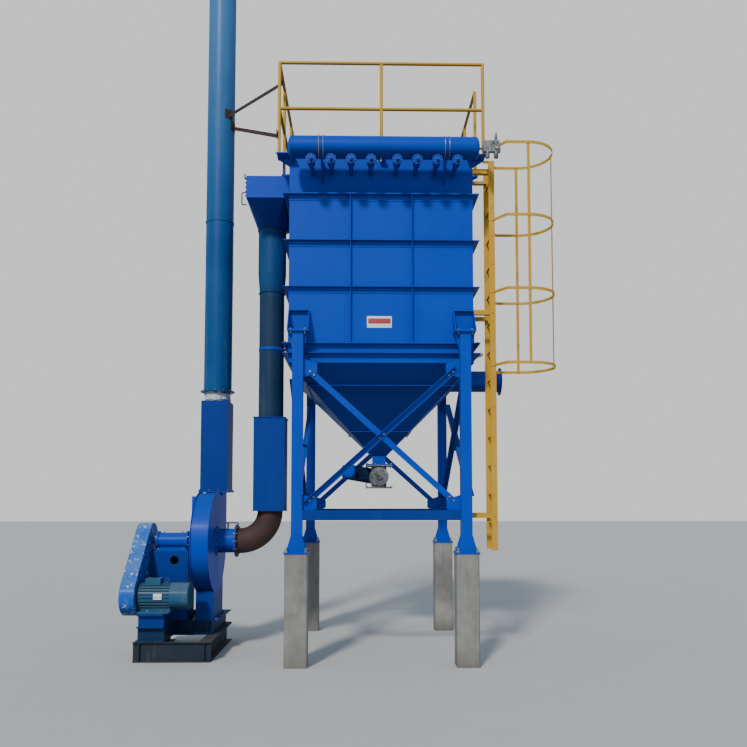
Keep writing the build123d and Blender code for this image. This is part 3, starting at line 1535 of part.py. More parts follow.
# Frame of channels under the fan, with a bay at the front for the motor
with BuildPart() as fan_base_frame:
    channel = channel_section(frame_height, frame_flange, frame_thickness)
    frame_z = plinth_height + frame_height / 2
    for x, start_y, end_y in (
        (frame_left, frame_back, motor_bay_front),
        (motor_bay_right, frame_front, motor_bay_front),
        (frame_middle, frame_back, frame_front),
        (frame_right, frame_front, frame_back),
    ):
        run_profile(channel, (x, start_y, frame_z), (x, end_y, frame_z), (0, 0, 1))
    middle_web = frame_middle - frame_thickness
    for y, start_x, end_x in (
        (motor_bay_front, frame_left - frame_flange, motor_bay_right),
        (frame_front, middle_web, frame_left),
        (frame_front, frame_right, frame_middle),
        (fan_y - post_beam_spacing / 2, frame_left, middle_web),
        (fan_y + post_beam_spacing / 2, middle_web, frame_left),
        (frame_back, frame_left, middle_web),
        (frame_back, frame_middle, frame_right),
    ):
        run_profile(channel, (start_x, y, frame_z), (end_x, y, frame_z), (0, 0, 1))
save(fan_base_frame, "fan_base_frame")

# Plinth of two beams, with a channel and stiffeners across their front ends
with BuildPart() as plinth_beams:
    plinth_z = plinth_height / 2
    plinth_webs = (frame_left - plinth_left_shift, frame_right + plinth_right_shift)
    beam = beam_section(plinth_height, plinth_flange, plinth_thickness)
    for x in plinth_webs:
        run_profile(beam, (x, plinth_front, plinth_z), (x, frame_back, plinth_z), (0, 0, 1))
    end_channel = channel_section(plinth_height, plinth_channel_flange, plinth_thickness)
    run_profile(
        end_channel,
        (plinth_webs[0] - plinth_flange / 2, plinth_front, plinth_z),
        (plinth_webs[1] + plinth_flange / 2, plinth_front, plinth_z),
        (0, 0, 1),
    )
    for x in plinth_webs:
        box(
            around(x, plinth_thickness),
            (plinth_front - plinth_channel_flange, plinth_front),
            (0, plinth_height),
        )
save(plinth_beams, "plinth_beams")
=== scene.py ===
"""Looks of the pulse jet bag filter: paint, concrete, bolts, welds and small fittings."""
import json
from math import cos, pi, radians, sin

import bmesh
import bpy
from mathutils import Matrix, Vector


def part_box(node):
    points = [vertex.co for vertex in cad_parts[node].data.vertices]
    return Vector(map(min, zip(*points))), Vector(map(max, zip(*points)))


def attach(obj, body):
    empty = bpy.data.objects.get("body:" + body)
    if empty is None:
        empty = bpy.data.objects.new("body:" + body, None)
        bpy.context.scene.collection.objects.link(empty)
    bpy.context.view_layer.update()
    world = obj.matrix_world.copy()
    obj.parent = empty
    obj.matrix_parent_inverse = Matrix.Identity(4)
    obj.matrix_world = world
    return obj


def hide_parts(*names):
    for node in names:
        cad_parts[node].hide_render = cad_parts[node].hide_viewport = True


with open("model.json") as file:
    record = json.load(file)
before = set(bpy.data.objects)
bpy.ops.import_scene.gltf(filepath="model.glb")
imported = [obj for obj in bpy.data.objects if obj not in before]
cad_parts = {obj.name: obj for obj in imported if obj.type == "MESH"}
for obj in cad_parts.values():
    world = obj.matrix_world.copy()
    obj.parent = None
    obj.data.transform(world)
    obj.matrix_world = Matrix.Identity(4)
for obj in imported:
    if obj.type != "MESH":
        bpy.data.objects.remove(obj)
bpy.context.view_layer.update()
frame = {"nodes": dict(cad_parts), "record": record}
UP, DOWN = Vector((0, 0, 1)), Vector((0, 0, -1))
LEFT, RIGHT = Vector((-1, 0, 0)), Vector((1, 0, 0))
FRONT, BACK = Vector((0, -1, 0)), Vector((0, 1, 0))
SIDES = (-1, 1)
CORNERS = ((-1, -1), (-1, 1), (1, -1), (1, 1))
CIRCUIT = ((-1, -1), (1, -1), (1, 1), (-1, 1))

# The filter's centreline, between its pedestals and at ground level
CENTRELINE = (Vector(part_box("pedestals")[0]) + Vector(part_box("pedestals")[1])) / 2
CENTRELINE.z = 0


def place(x, y, z):
    """Point of the frame that lies x, y and z from the filter's centreline."""
    return CENTRELINE + Vector((x, y, z))


def low(node):
    """Lowest corner of a node, measured from the filter's centreline."""
    return Vector(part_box(node)[0]) - CENTRELINE


def high(node):
    """Highest corner of a node, measured from the filter's centreline."""
    return Vector(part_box(node)[1]) - CENTRELINE


def middle(node):
    """Middle of a node, measured from the filter's centreline."""
    return (low(node) + high(node)) / 2


# Faces of the housing and levels that many pieces share
HALF_X = -high("outlet_hood").x
HALF_Y = high("left_wall").y
PEDESTAL_TOP = high("pedestals").z
HOUSING_BOTTOM = low("front_wall").z
PLENUM_BOTTOM = low("clean_air_plenum").z


# Materials
class Shader:
    """Small helper that builds one node material."""

    def __init__(self, name, **settings):
        self.material = bpy.data.materials.new(name)
        self.material.use_nodes = True
        self.tree = self.material.node_tree
        self.principled = self.tree.nodes["Principled BSDF"]
        for key, value in settings.items():
            self.principled.inputs[key.replace("_", " ")].default_value = value
        self.coordinates = self.tree.nodes.new("ShaderNodeTexCoord").outputs["Object"]

    def node(self, kind, links=None, **settings):
        """New node: its sockets are set or linked by name, its properties set by keyword."""
        made = self.tree.nodes.new(kind)
        for key, value in settings.items():
            setattr(made, key, value)
        for key, value in (links or {}).items():
            socket = made.inputs[key]
            if isinstance(value, bpy.types.NodeSocket):
                self.tree.links.new(value, socket)
            else:
                socket.default_value = value
        return made

    def stretched(self, x, y, z):
        """Object coordinates scaled along each axis."""
        scaled_by = {"Vector": self.coordinates, "Scale": (x, y, z)}
        return self.node("ShaderNodeMapping", scaled_by).outputs["Vector"]

    def noise(self, scale, detail=4.0, roughness=0.6, vector=None, distortion=0.0):
        """Noise factor at a scale in cells per metre."""
        return self.node("ShaderNodeTexNoise", {
            "Vector": vector or self.coordinates, "Scale": scale, "Detail": detail,
            "Roughness": roughness, "Distortion": distortion,
        }).outputs["Fac"]

    def ramp(self, factor, start, end, from_value=0.0, to_value=1.0):
        """Factor mapped from the range between start and end."""
        return self.node("ShaderNodeMapRange", {
            "Value": factor, "From Min": start, "From Max": end, "To Min": from_value, "To Max": to_value,
        }).outputs["Result"]

    def math(self, operation, first, second):
        """Plain arithmetic on two values."""
        return self.node("ShaderNodeMath", {0: first, 1: second}, operation=operation).outputs[0]

    def mix(self, factor, first, second):
        """Colour between two colours."""
        colours = {0: factor, 6: first, 7: second}
        return self.node("ShaderNodeMix", colours, data_type="RGBA").outputs[2]

    def facing(self, start, end):
        """How far the surface's upward lean has gone from start to end."""
        normal = self.node("ShaderNodeNewGeometry").outputs["Normal"]
        return self.ramp(self.node("ShaderNodeSeparateXYZ", {0: normal}).outputs["Z"], start, end)

    def height(self):
        """Height above the ground in metres."""
        return self.node("ShaderNodeSeparateXYZ", {0: self.coordinates}).outputs["Z"]

    def set(self, name, output):
        """Link an output to the shader."""
        self.tree.links.new(output, self.principled.inputs[name])

    def bump(self, height, distance, strength=1.0, below=None):
        """Bump of a real depth in metres, on top of another bump."""
        links = {"Height": height, "Distance": distance, "Strength": strength}
        if below is not None:
            links["Normal"] = below
        return self.node("ShaderNodeBump", links).outputs["Normal"]


def rgb(red, green, blue):
    """Colour with full opacity."""
    return (red, green, blue, 1.0)


DUST = rgb(0.16, 0.19, 0.23)
BLUE_DUST = rgb(0.02, 0.11, 0.36)
RUST = rgb(0.12, 0.05, 0.025)
# Lean of a face, from where dust on top, or the painted shade below, starts to where it is full
UPWARD, DOWNWARD = (0.35, 0.95), (-0.25, -0.65)
# Painted shade on down-facing faces: the share of the paint's own colour they darken to, and its greatest
# cover
UNDERSIDE_SHADE, UNDERSIDE_SHADE_COVER = 0.22, 0.72
CHIP_START, CHIP_EDGE, CHIP_SPREAD = 0.70, 0.035, 0.02
PLATE_WAVES, ORANGE_PEEL, CHIP_DEPTH = 0.0035, 0.0003, 0.0006


def paint(name, colour, faded, dust, roughness, wear, streaks, under=RUST, levels=None):
    """Sprayed paint: faded in patches, dusty on top, painted darker below as shade, with run-off streaks and
    chips.
    """
    shader = Shader(name, Metallic=0.0, Coat_Weight=0.04, Coat_Roughness=0.2, Specular_IOR_Level=0.14)
    cloud = shader.noise(1.7, 5.0, 0.62)
    fine = shader.noise(38.0, 3.0, 0.55)
    tone = shader.mix(shader.ramp(cloud, 0.35, 0.72, 0.0, 0.8), colour, faded)
    if levels:
        bottom, top, upper = levels
        tone = shader.mix(shader.ramp(shader.height(), bottom, top), tone, upper)
    runs = shader.noise(9.0, 6.0, 0.7, shader.stretched(1.0, 1.0, 0.09))
    tone = shader.mix(shader.ramp(runs, 0.54, 0.80, 0.0, 0.40 * streaks), tone, dust)
    patchy = shader.ramp(shader.noise(5.0, 6.0, 0.7), 0.3, 0.65, 0.12, 0.6)
    settled = shader.math("MULTIPLY", shader.facing(*UPWARD), patchy)
    tone = shader.mix(settled, tone, dust)
    # Down-facing faces turn towards a darker copy of the paint: painted shade
    painted_underside_shade = rgb(*(part * UNDERSIDE_SHADE for part in colour[:3]))
    tone = shader.mix(shader.math("MULTIPLY", shader.facing(*DOWNWARD), UNDERSIDE_SHADE_COVER), tone, painted_underside_shade)
    chip_start = CHIP_START - CHIP_SPREAD * wear
    chips = shader.ramp(shader.noise(24.0, 8.0, 0.72), chip_start, chip_start + CHIP_EDGE)
    tone = shader.mix(shader.math("MULTIPLY", chips, wear), tone, under)
    shader.set("Base Color", tone)
    speckled = shader.ramp(fine, 0.3, 0.7, -0.04, 0.05)
    grain = shader.math("ADD", speckled, shader.ramp(cloud, 0.3, 0.7, 0.0, 0.12))
    rough = shader.math("ADD", shader.math("MULTIPLY", settled, 0.35), roughness)
    rough = shader.math("ADD", rough, shader.math("ADD", grain, shader.math("MULTIPLY", chips, 0.3)))
    shader.set("Roughness", rough)
    waves = shader.bump(shader.noise(2.6, 2.0, 0.4), PLATE_WAVES, 0.35)
    peel = shader.bump(shader.noise(260.0, 2.0, 0.5), ORANGE_PEEL, 0.35, waves)
    shader.set("Normal", shader.bump(chips, CHIP_DEPTH, 0.6, peel))
    return shader.material


FLAKE_DEPTH, SPECKLE_DEPTH = 0.0015, 0.0006


def rusty(name, bare, rust, scale, roughness):
    """Rusted steel with dark scale."""
    shader = Shader(name, Metallic=0.25)
    patches = shader.noise(6.0, 8.0, 0.68, distortion=0.4)
    speckle = shader.noise(70.0, 6.0, 0.7)
    tone = shader.mix(shader.ramp(patches, 0.38, 0.62), bare, rust)
    tone = shader.mix(shader.ramp(speckle, 0.5, 0.75, 0.0, 0.8), tone, scale)
    shader.set("Base Color", tone)
    shader.set("Roughness", shader.ramp(speckle, 0.25, 0.75, roughness - 0.12, roughness + 0.15))
    flakes = shader.bump(patches, FLAKE_DEPTH, 0.5)
    shader.set("Normal", shader.bump(speckle, SPECKLE_DEPTH, 0.7, flakes))
    return shader.material


CEMENT, DARK_CEMENT = rgb(0.30, 0.295, 0.275), rgb(0.185, 0.18, 0.17)
RUN_OFF, DAMP, SAND = rgb(0.11, 0.105, 0.10), rgb(0.10, 0.088, 0.075), rgb(0.42, 0.41, 0.38)
DAMP_HEIGHT = 0.22
BOARD_DEPTH, HOLE_DEPTH, SAND_DEPTH = 0.006, 0.0018, 0.0012


def concrete(name):
    """Cast concrete: pale, blotched, with blow holes, formwork lines and a damp foot."""
    shader = Shader(name, Metallic=0.0)
    blotch = shader.noise(5.0, 8.0, 0.68)
    grains = shader.noise(190.0, 5.0, 0.65)
    tone = shader.mix(shader.ramp(blotch, 0.3, 0.7), CEMENT, DARK_CEMENT)
    runs = shader.noise(14.0, 6.0, 0.7, shader.stretched(1.0, 1.0, 0.12))
    tone = shader.mix(shader.ramp(runs, 0.5, 0.75, 0.0, 0.5), tone, RUN_OFF)
    tone = shader.mix(shader.ramp(shader.height(), 0.0, DAMP_HEIGHT, 0.55, 0.0), tone, DAMP)
    tone = shader.mix(shader.ramp(grains, 0.55, 0.75, 0.0, 0.4), tone, SAND)
    shader.set("Base Color", tone)
    shader.set("Roughness", shader.ramp(grains, 0.3, 0.7, 0.82, 0.97))
    spread = {"Vector": shader.coordinates, "Scale": 55.0, "Randomness": 1.0}
    cells = shader.node("ShaderNodeTexVoronoi", spread)
    holes = shader.ramp(cells.outputs["Distance"], 0.05, 0.2)
    boards = shader.noise(1.0, 3.0, 0.5, shader.stretched(2.0, 2.0, 11.0))
    lines = shader.bump(boards, BOARD_DEPTH, 0.5)
    pits = shader.bump(holes, HOLE_DEPTH, 0.5, lines)
    shader.set("Normal", shader.bump(grains, SAND_DEPTH, 0.8, pits))
    return shader.material


THREADS_PER_METRE = 160.0
CREASE_DEPTH, THREAD_DEPTH = 0.006, 0.0006


def canvas(name, colour, shade):
    """Coated woven cloth with creases, painted darker in its folds as shade, and darker between its threads.
    """
    shader = Shader(name, Metallic=0.0, Sheen_Weight=0.2)
    weave = {"Vector": shader.coordinates, "Scale": THREADS_PER_METRE}
    across = shader.node("ShaderNodeTexWave", weave, bands_direction="X")
    along = shader.node("ShaderNodeTexWave", weave, bands_direction="Z")
    threads = shader.math("MAXIMUM", across.outputs["Fac"], along.outputs["Fac"])
    folds = shader.noise(9.0, 4.0, 0.6, shader.stretched(1.0, 1.0, 2.5))
    # The folds are painted towards the darker colour: painted shade in the creases
    tone = shader.mix(shader.ramp(folds, 0.35, 0.7), colour, shade)
    tone = shader.mix(shader.ramp(threads, 0.0, 1.0, 0.2, 0.0), tone, shade)
    shader.set("Base Color", tone)
    shader.set("Roughness", shader.ramp(threads, 0.0, 1.0, 0.9, 0.72))
    creases = shader.bump(folds, CREASE_DEPTH, 0.7)
    shader.set("Normal", shader.bump(threads, THREAD_DEPTH, 0.6, creases))
    return shader.material


CAST_SKIN, PITTING = 0.0005, 0.001


def metal(name, colour, dark, roughness, metallic):
    """Cast or machined metal with grime in its hollows."""
    shader = Shader(name, Metallic=metallic)
    grime = shader.noise(22.0, 7.0, 0.68)
    skin = shader.noise(240.0, 3.0, 0.6)
    shader.set("Base Color", shader.mix(shader.ramp(grime, 0.42, 0.68), colour, dark))
    shader.set("Roughness", shader.ramp(grime, 0.3, 0.7, roughness - 0.08, roughness + 0.22))
    shader.set("Normal", shader.bump(skin, CAST_SKIN, 0.6, shader.bump(grime, PITTING, 0.3)))
    return shader.material


# Heights between which the stack and the duct turn paler
STACK_PALER_ABOVE = (4.9, 7.4, rgb(0.050, 0.185, 0.430))
DUCT_FADE = (3.85, 4.05, rgb(0.005, 0.060, 0.185))
MATERIALS = {
    "blue_steel": paint(
        "blue_paint", rgb(0.0003, 0.049, 0.465), rgb(0.0005, 0.062, 0.515), BLUE_DUST,
        roughness=0.42, wear=0.45, streaks=0.4),
    # Darker copy of the blue paint: painted shade for the parts that stand in the shadow of a neighbouring
    # structure
    "shade_painted_blue": paint(
        "shade_painted_blue_paint", rgb(0.0003, 0.028, 0.235), rgb(0.0006, 0.036, 0.270), BLUE_DUST,
        roughness=0.44, wear=0.7, streaks=0.5),
    "guard_blue": paint(
        "scuffed_blue_paint", rgb(0.002, 0.090, 0.440), rgb(0.012, 0.125, 0.520), rgb(0.22, 0.38, 0.64),
        roughness=0.40, wear=5.6, streaks=0.8, under=rgb(0.62, 0.68, 0.76)),
    "dusty_blue_steel": paint(
        "faded_blue_paint", rgb(0.004, 0.066, 0.225), rgb(0.014, 0.100, 0.290), DUST,
        roughness=0.36, wear=0.8, streaks=0.9, levels=STACK_PALER_ABOVE),
    "duct_blue": paint(
        "duct_blue_paint", rgb(0.008, 0.032, 0.080), rgb(0.020, 0.045, 0.095), DUST,
        roughness=0.44, wear=0.9, streaks=0.9, levels=DUCT_FADE),
    "dark_steel": paint(
        "dark_blue_paint", rgb(0.003, 0.024, 0.080), rgb(0.010, 0.036, 0.095), rgb(0.10, 0.11, 0.125),
        roughness=0.50, wear=1.0, streaks=0.8),
    "yellow_steel": paint(
        "yellow_paint", rgb(0.56, 0.300, 0.022), rgb(0.64, 0.39, 0.06), rgb(0.30, 0.24, 0.14),
        roughness=0.48, wear=0.9, streaks=0.5),
    "motor_paint": paint(
        "motor_paint", rgb(0.020, 0.090, 0.175), rgb(0.040, 0.125, 0.215), DUST,
        roughness=0.50, wear=0.8, streaks=0.6),
    "rusty_steel": rusty(
        "rusty_steel", rgb(0.024, 0.024, 0.034), rgb(0.080, 0.032, 0.020), rgb(0.15, 0.055, 0.026),
        roughness=0.72),
    "rusty_blue": paint(
        "rusting_dark_paint", rgb(0.014, 0.026, 0.045), rgb(0.040, 0.042, 0.048), rgb(0.17, 0.15, 0.13),
        roughness=0.60, wear=1.6, streaks=1.2),
    "bare_steel": metal(
        "bare_steel", rgb(0.46, 0.47, 0.48), rgb(0.16, 0.145, 0.13), roughness=0.36, metallic=0.9),
    "grey_cast": metal(
        "grey_cast", rgb(0.24, 0.26, 0.27), rgb(0.075, 0.075, 0.08), roughness=0.52, metallic=0.55),
    "concrete": concrete("cast_concrete"),
    "canvas": canvas("coated_canvas", rgb(0.62, 0.74, 0.85), rgb(0.40, 0.52, 0.66)),
    "white_plate": paint(
        "white_plate", rgb(0.80, 0.83, 0.86), rgb(0.72, 0.74, 0.78), rgb(0.36, 0.35, 0.33),
        roughness=0.40, wear=0.3, streaks=0.3),
    "red_plate": paint(
        "red_plate", rgb(0.46, 0.060, 0.070), rgb(0.42, 0.080, 0.090), rgb(0.22, 0.10, 0.09),
        roughness=0.42, wear=0.3, streaks=0.3),
    "zinc": metal(
        "zinc_plate", rgb(0.40, 0.41, 0.42), rgb(0.15, 0.13, 0.11), roughness=0.40, metallic=0.8),
}
SLOT_OF = {part["node"]: part["material_slot"] for part in frame["record"]["subparts"]}
# Nodes whose look differs from their slot; the darker copy of the blue paints the shade that falls on these
# parts
LOOK_OF = {
    "downcomer": "duct_blue", "belt_guard": "guard_blue", "plinth_beams": "rusty_blue",
    "downcomer_box": "shade_painted_blue", "discharge_box": "shade_painted_blue", "motor_base": "shade_painted_blue",
    "fan_legs": "shade_painted_blue", "bearing_post": "shade_painted_blue", "tie_beams": "shade_painted_blue",
}


def dress_nodes():
    """Give every node of the model its look."""
    for node, thing in frame["nodes"].items():
        for slot in thing.material_slots:
            slot.material = MATERIALS[LOOK_OF.get(node, SLOT_OF[node])]


# Mesh tools
SHARP_ANGLE = radians(32)


def add(name, data):
    """Object of the scene that holds the data."""
    thing = bpy.data.objects.new(name, data)
    bpy.context.scene.collection.objects.link(thing)
    return thing


def mesh_data(name, mesh):
    """Mesh data taken from a bmesh, which is then freed."""
    data = bpy.data.meshes.new(name)
    mesh.to_mesh(data)
    mesh.free()
    return data


def finish_piece(name, mesh, look):
    """Object from a bmesh: cleaned normals, its material and its body."""
    bmesh.ops.recalc_face_normals(mesh, faces=mesh.faces)
    data = mesh_data(name, mesh)
    piece = add(name, data)
    data.materials.append(MATERIALS[look])
    data.shade_smooth()
    data.set_sharp_from_angle(angle=SHARP_ANGLE)
    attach(piece, "root")
    return piece


def turned(normal, spin=0.0):
    """Matrix that turns +Z to the normal."""
    return Vector(normal).to_track_quat("Z", "Y").to_matrix().to_4x4() @ Matrix.Rotation(spin, 4, "Z")


def angles(count):
    """Angles of a full turn in equal steps."""
    return [2 * pi * k / count for k in range(count)]


def circle(radius, height, sides):
    """Points of a level circle about the origin."""
    return [Vector((radius * cos(a), radius * sin(a), height)) for a in angles(sides)]


def bridge(mesh, rings, closed=True):
    """Faces between rings of vertices, and over both ends."""
    count = len(rings[0])
    for near, far in zip(rings, rings[1:]):
        for k in range(count):
            mesh.faces.new((near[k], near[(k + 1) % count], far[(k + 1) % count], far[k]))
    if closed:
        mesh.faces.new(rings[0][::-1])
        mesh.faces.new(rings[-1])


def lathe(mesh, profile, centre, normal, sides, spin=0.0):
    """Solid of revolution: profile is a list of (radius, height) along the normal."""
    matrix = Matrix.Translation(Vector(centre)) @ turned(normal, spin)
    bridge(mesh, [[mesh.verts.new(matrix @ point) for point in circle(*ring, sides)] for ring in profile])


def tube(mesh, points, radius, sides=8, swell=0.0):
    """Round bar through the points, thicker by the swell at every other point."""
    points = [Vector(point) for point in points]
    side = None
    rings = []
    for k, point in enumerate(points):
        ahead = (points[min(k + 1, len(points) - 1)] - points[max(k - 1, 0)]).normalized()
        if side is None:
            side = ahead.orthogonal().normalized()
        else:
            side = (side - ahead * side.dot(ahead)).normalized()
        across = ahead.cross(side)
        size = radius * (1 + swell * (k % 2))
        spokes = [side * cos(a) + across * sin(a) for a in angles(sides)]
        rings.append([mesh.verts.new(point + spoke * size) for spoke in spokes])
    bridge(mesh, rings)


def ring_places(centre, normal, radius, count, start=0.0):
    """Places on a circle about a centre, all with the same normal."""
    matrix = turned(normal)
    found = []
    for step in angles(count):
        angle = start + step
        spoke = matrix @ Vector((radius * cos(angle), radius * sin(angle), 0))
        found.append((Vector(centre) + spoke, normal))
    return found


def rectangle_sides(centre, half_x, half_y):
    """Start and end of the four sides of a level rectangle."""
    corners = [Vector(centre) + Vector((sx * half_x, sy * half_y, 0)) for sx, sy in CIRCUIT]
    return zip(corners, corners[1:] + corners[:1])


def frame_places(centre, half_x, half_y, pitch, normal):
    """Places along the sides of a level rectangle, about a pitch apart and none twice."""
    found = []
    for start, end in rectangle_sides(centre, half_x, half_y):
        count = max(1, round((end - start).length / pitch))
        found.extend((start.lerp(end, k / count), normal) for k in range(count))
    return found


def hoop(mesh, centre, normal, radius, bar, count=48, sides=8, swell=0.0):
    """Round bar bent to a full circle."""
    path = [spot for spot, _ in ring_places(centre, normal, radius, count)]
    tube(mesh, [*path, path[0]], bar, sides, swell)


def rounded(points, bend, steps=5):
    """The points of a bent rod, each inner corner rounded off."""
    points = [Vector(point) for point in points]
    found = [points[0]]
    for before, corner, after in zip(points, points[1:], points[2:]):
        start = corner + (before - corner).normalized() * bend
        end = corner + (after - corner).normalized() * bend
        for k in range(steps + 1):
            t = k / steps
            found.append(start * (1 - t) ** 2 + corner * 2 * t * (1 - t) + end * t ** 2)
    return found + [points[-1]]


def bent_rod(mesh, outline, y, bend, radius):
    """Rod bent in an upright plane at y: its outline is a list of (x, height)."""
    tube(mesh, rounded([place(x, y, z) for x, z in outline], bend), radius)


def plate(mesh, centre, size, normal, bevel):
    """Flat plate with worn edges: size is width, length and thickness along the normal."""
    matrix = Matrix.Translation(Vector(centre)) @ turned(normal) @ Matrix.Diagonal((*size, 1.0))
    made = bmesh.ops.create_cube(mesh, size=1.0, matrix=matrix)["verts"]
    edges = list({edge for vert in made for edge in vert.link_edges})
    bmesh.ops.bevel(mesh, geom=edges, offset=bevel, segments=2, affect="EDGES", profile=0.6)


WELD, RIPPLE, RIPPLE_STEP = 0.0032, 0.22, 0.009


def seam(mesh, start, end):
    """Straight weld bead with ripples about its own width apart."""
    start, end = Vector(start), Vector(end)
    count = max(2, round((end - start).length / RIPPLE_STEP))
    tube(mesh, [start.lerp(end, k / count) for k in range(count + 1)], WELD, 6, RIPPLE)


def round_seam(mesh, centre, normal, radius, count=96):
    """Weld bead round a full circle."""
    hoop(mesh, centre, normal, radius, WELD, count, 6, RIPPLE)


# Bolts: radii and heights are shares of the thread, sink and chamfer are in metres
WASHER = ((1.05, 0.14), (0.98, 0.20))
HEXAGON = ((0.92, 0.18), (0.92, 0.80), (0.78, 0.94))
STUD_R, STUD_TIP_R, STUD_FOOT, STUD_TOP = 0.5, 0.4, 0.5, 0.9
SINK, STUD_CHAMFER = 0.0005, 0.001
# Each hexagon of a set is turned further than the last, as spanners leave them
TURN_STEP = 0.7


def scaled(profile, size):
    """Profile given in shares of a size."""
    return [(radius * size, height * size) for radius, height in profile]


def bolt(mesh, centre, normal, size, spin, stud):
    """Washer and chamfered hexagon; size is the thread diameter, stud the thread that stands out."""
    washer = scaled(WASHER, size)
    lathe(mesh, [(washer[0][0], -SINK), *washer], centre, normal, 12)
    lathe(mesh, scaled(HEXAGON, size), centre, normal, 6, spin)
    if stud:
        radius = STUD_R * size
        tip = STUD_TOP * size + stud
        profile = [(radius, STUD_FOOT * size), (radius, tip - STUD_CHAMFER), (STUD_TIP_R * size, tip)]
        lathe(mesh, profile, centre, normal, 10)


def bolts(name, places, size, look="zinc", stud=0.0):
    """One piece that holds a set of bolts: places are (centre, normal)."""
    mesh = bmesh.new()
    for count, (centre, normal) in enumerate(places):
        bolt(mesh, centre, normal, size, TURN_STEP * count, stud)
    return finish_piece(name, mesh, look)


# Anchor studs in the pedestals, and the bolts between columns and lugs
COLUMNS = ("column_front_left", "column_front_right", "column_rear_left", "column_rear_right")
COLUMN_X = middle("column_front_right").x
BASE_PLATE, LUG_PLATE, CAP_PLATE = 0.016, 0.010, 0.012
BASE_TOP = PEDESTAL_TOP + BASE_PLATE
LUG_FLOOR = low("support_lugs").z + LUG_PLATE
CAP_BOTTOM = high("column_front_left").z - CAP_PLATE
ANCHOR_X, ANCHOR_Y = 0.095, 0.092
ANCHOR, ANCHOR_STUD = 0.020, 0.028
LUG_Y, LUG_STEP_X, LUG_STEP_Y = 1.1025, 0.070, 0.0425
LUG_BOLT, LUG_STUD = 0.014, 0.012


def column_bolts():
    """Anchors in the pedestals, and the bolts that hold the lugs on the columns."""
    anchors, heads, nuts = [], [], []
    for column in COLUMNS:
        foot = middle(column)
        side = 1 if foot.y > 0 else -1
        for sx, sy in CORNERS:
            anchors.append((place(foot.x + sx * ANCHOR_X, foot.y + sy * ANCHOR_Y, BASE_TOP), UP))
            x, y = foot.x + sx * LUG_STEP_X, side * (LUG_Y + sy * LUG_STEP_Y)
            heads.append((place(x, y, LUG_FLOOR), UP))
            nuts.append((place(x, y, CAP_BOTTOM), DOWN))
    bolts("anchor_bolts", anchors, ANCHOR, "zinc", ANCHOR_STUD)
    bolts("lug_bolts", heads, LUG_BOLT)
    bolts("lug_nuts", nuts, LUG_BOLT, "zinc", LUG_STUD)


# Crossed braces: each bracing with the side it faces and the way its angles run
BRACINGS = (
    ("front_bracing", FRONT, RIGHT),
    ("rear_bracing", BACK, LEFT),
    ("left_bracing", LEFT, FRONT),
    ("right_bracing", RIGHT, BACK),
)
BRACE_INSET, BRACE_RISE = 0.030, 0.095
BRACE_FACE, GUSSET_FACE = 0.010, 0.004
CROSS_STEP, END_INSET, END_STEP = 0.060, 0.052, 0.055
BRACE_BOLT = 0.012


def brace_bolts():
    """Two bolts at each crossing and two at each end of the crossed angles."""
    places = []
    for node, out, along in BRACINGS:
        half = (high(node) - low(node)) / 2
        crossing = CENTRELINE + middle(node) + out * BRACE_FACE
        reach = abs(half.dot(along)) - BRACE_INSET
        for rise in (1, -1):
            run = along * reach + UP * rise * (half.z - BRACE_RISE)
            lean = run.normalized()
            if rise == 1:
                places.extend((crossing + lean * step, out) for step in (-CROSS_STEP / 2, CROSS_STEP / 2))
            inset = 0 if rise == 1 else BRACE_FACE - GUSSET_FACE
            for end in SIDES:
                for step in (END_INSET, END_INSET + END_STEP):
                    places.append((crossing - out * inset + end * (run - lean * step), out))
    bolts("brace_bolts", places, BRACE_BOLT)


# Bolts round the level flanges of the housing, the plenum and the hopper's outlet
FLANGE_PLATE, FLANGE_EDGE, FLANGE_PITCH = 0.006, 0.030, 0.155
FLANGE_BOLT, FLANGE_STUD = 0.0115, 0.008
OUTLET_PLATE, OUTLET_HALF, OUTLET_PITCH = 0.012, 0.135, 0.085
OUTLET_BOLT = 0.010
LUG_REACH = 0.12


def near_lug(spot):
    """Whether a place on the housing's lower flange is inside a support lug."""
    off = spot - CENTRELINE
    return abs(abs(off.x) - COLUMN_X) < LUG_REACH and abs(off.y) > HALF_Y


def flange_bolts():
    """Heads above and nuts below the housing, plenum and hopper outlet flanges."""
    heads, nuts, small = [], [], []
    reach_x, reach_y = HALF_X + FLANGE_EDGE, HALF_Y + FLANGE_EDGE
    for level in (HOUSING_BOTTOM, PLENUM_BOTTOM):
        for found, step, normal in ((heads, FLANGE_PLATE, UP), (nuts, -FLANGE_PLATE, DOWN)):
            places = frame_places(place(0, 0, level + step), reach_x, reach_y, FLANGE_PITCH, normal)
            if level == HOUSING_BOTTOM:
                places = [(spot, out) for spot, out in places if not near_lug(spot)]
            found.extend(places)
    bottom, top = low("rotary_valve").z, high("rotary_valve").z
    for level, normal in ((top + OUTLET_PLATE, UP), (top - OUTLET_PLATE, DOWN), (bottom + OUTLET_PLATE, UP)):
        small += frame_places(place(0, 0, level), OUTLET_HALF, OUTLET_HALF, OUTLET_PITCH, normal)
    bolts("flange_bolts", heads, FLANGE_BOLT, "blue_steel")
    bolts("flange_nuts", nuts, FLANGE_BOLT, "blue_steel", FLANGE_STUD)
    bolts("outlet_bolts", small, OUTLET_BOLT)


# Flanges of the fan duct and the stack
FAN_Y, FAN_Z = middle("bearing_post").y, middle("fan_shaft").z
STACK_X, STACK_Y = middle("discharge_box").x, middle("discharge_box").y
STACK_FOOT = low("stack").z + 0.012
ROUND_FLANGE, BOX_FLANGE = 0.010, 0.012
STUB_CIRCLE, ELBOW_CIRCLE, STACK_CIRCLE = 0.148, 0.166, 0.180
STUB_TURN = 0.2
CIRCLE_BOLTS = 12
BOX_HALF_X, BOX_HALF_Y, BOX_PITCH = 0.162, 0.181, 0.10
DUCT_BOLT = 0.009


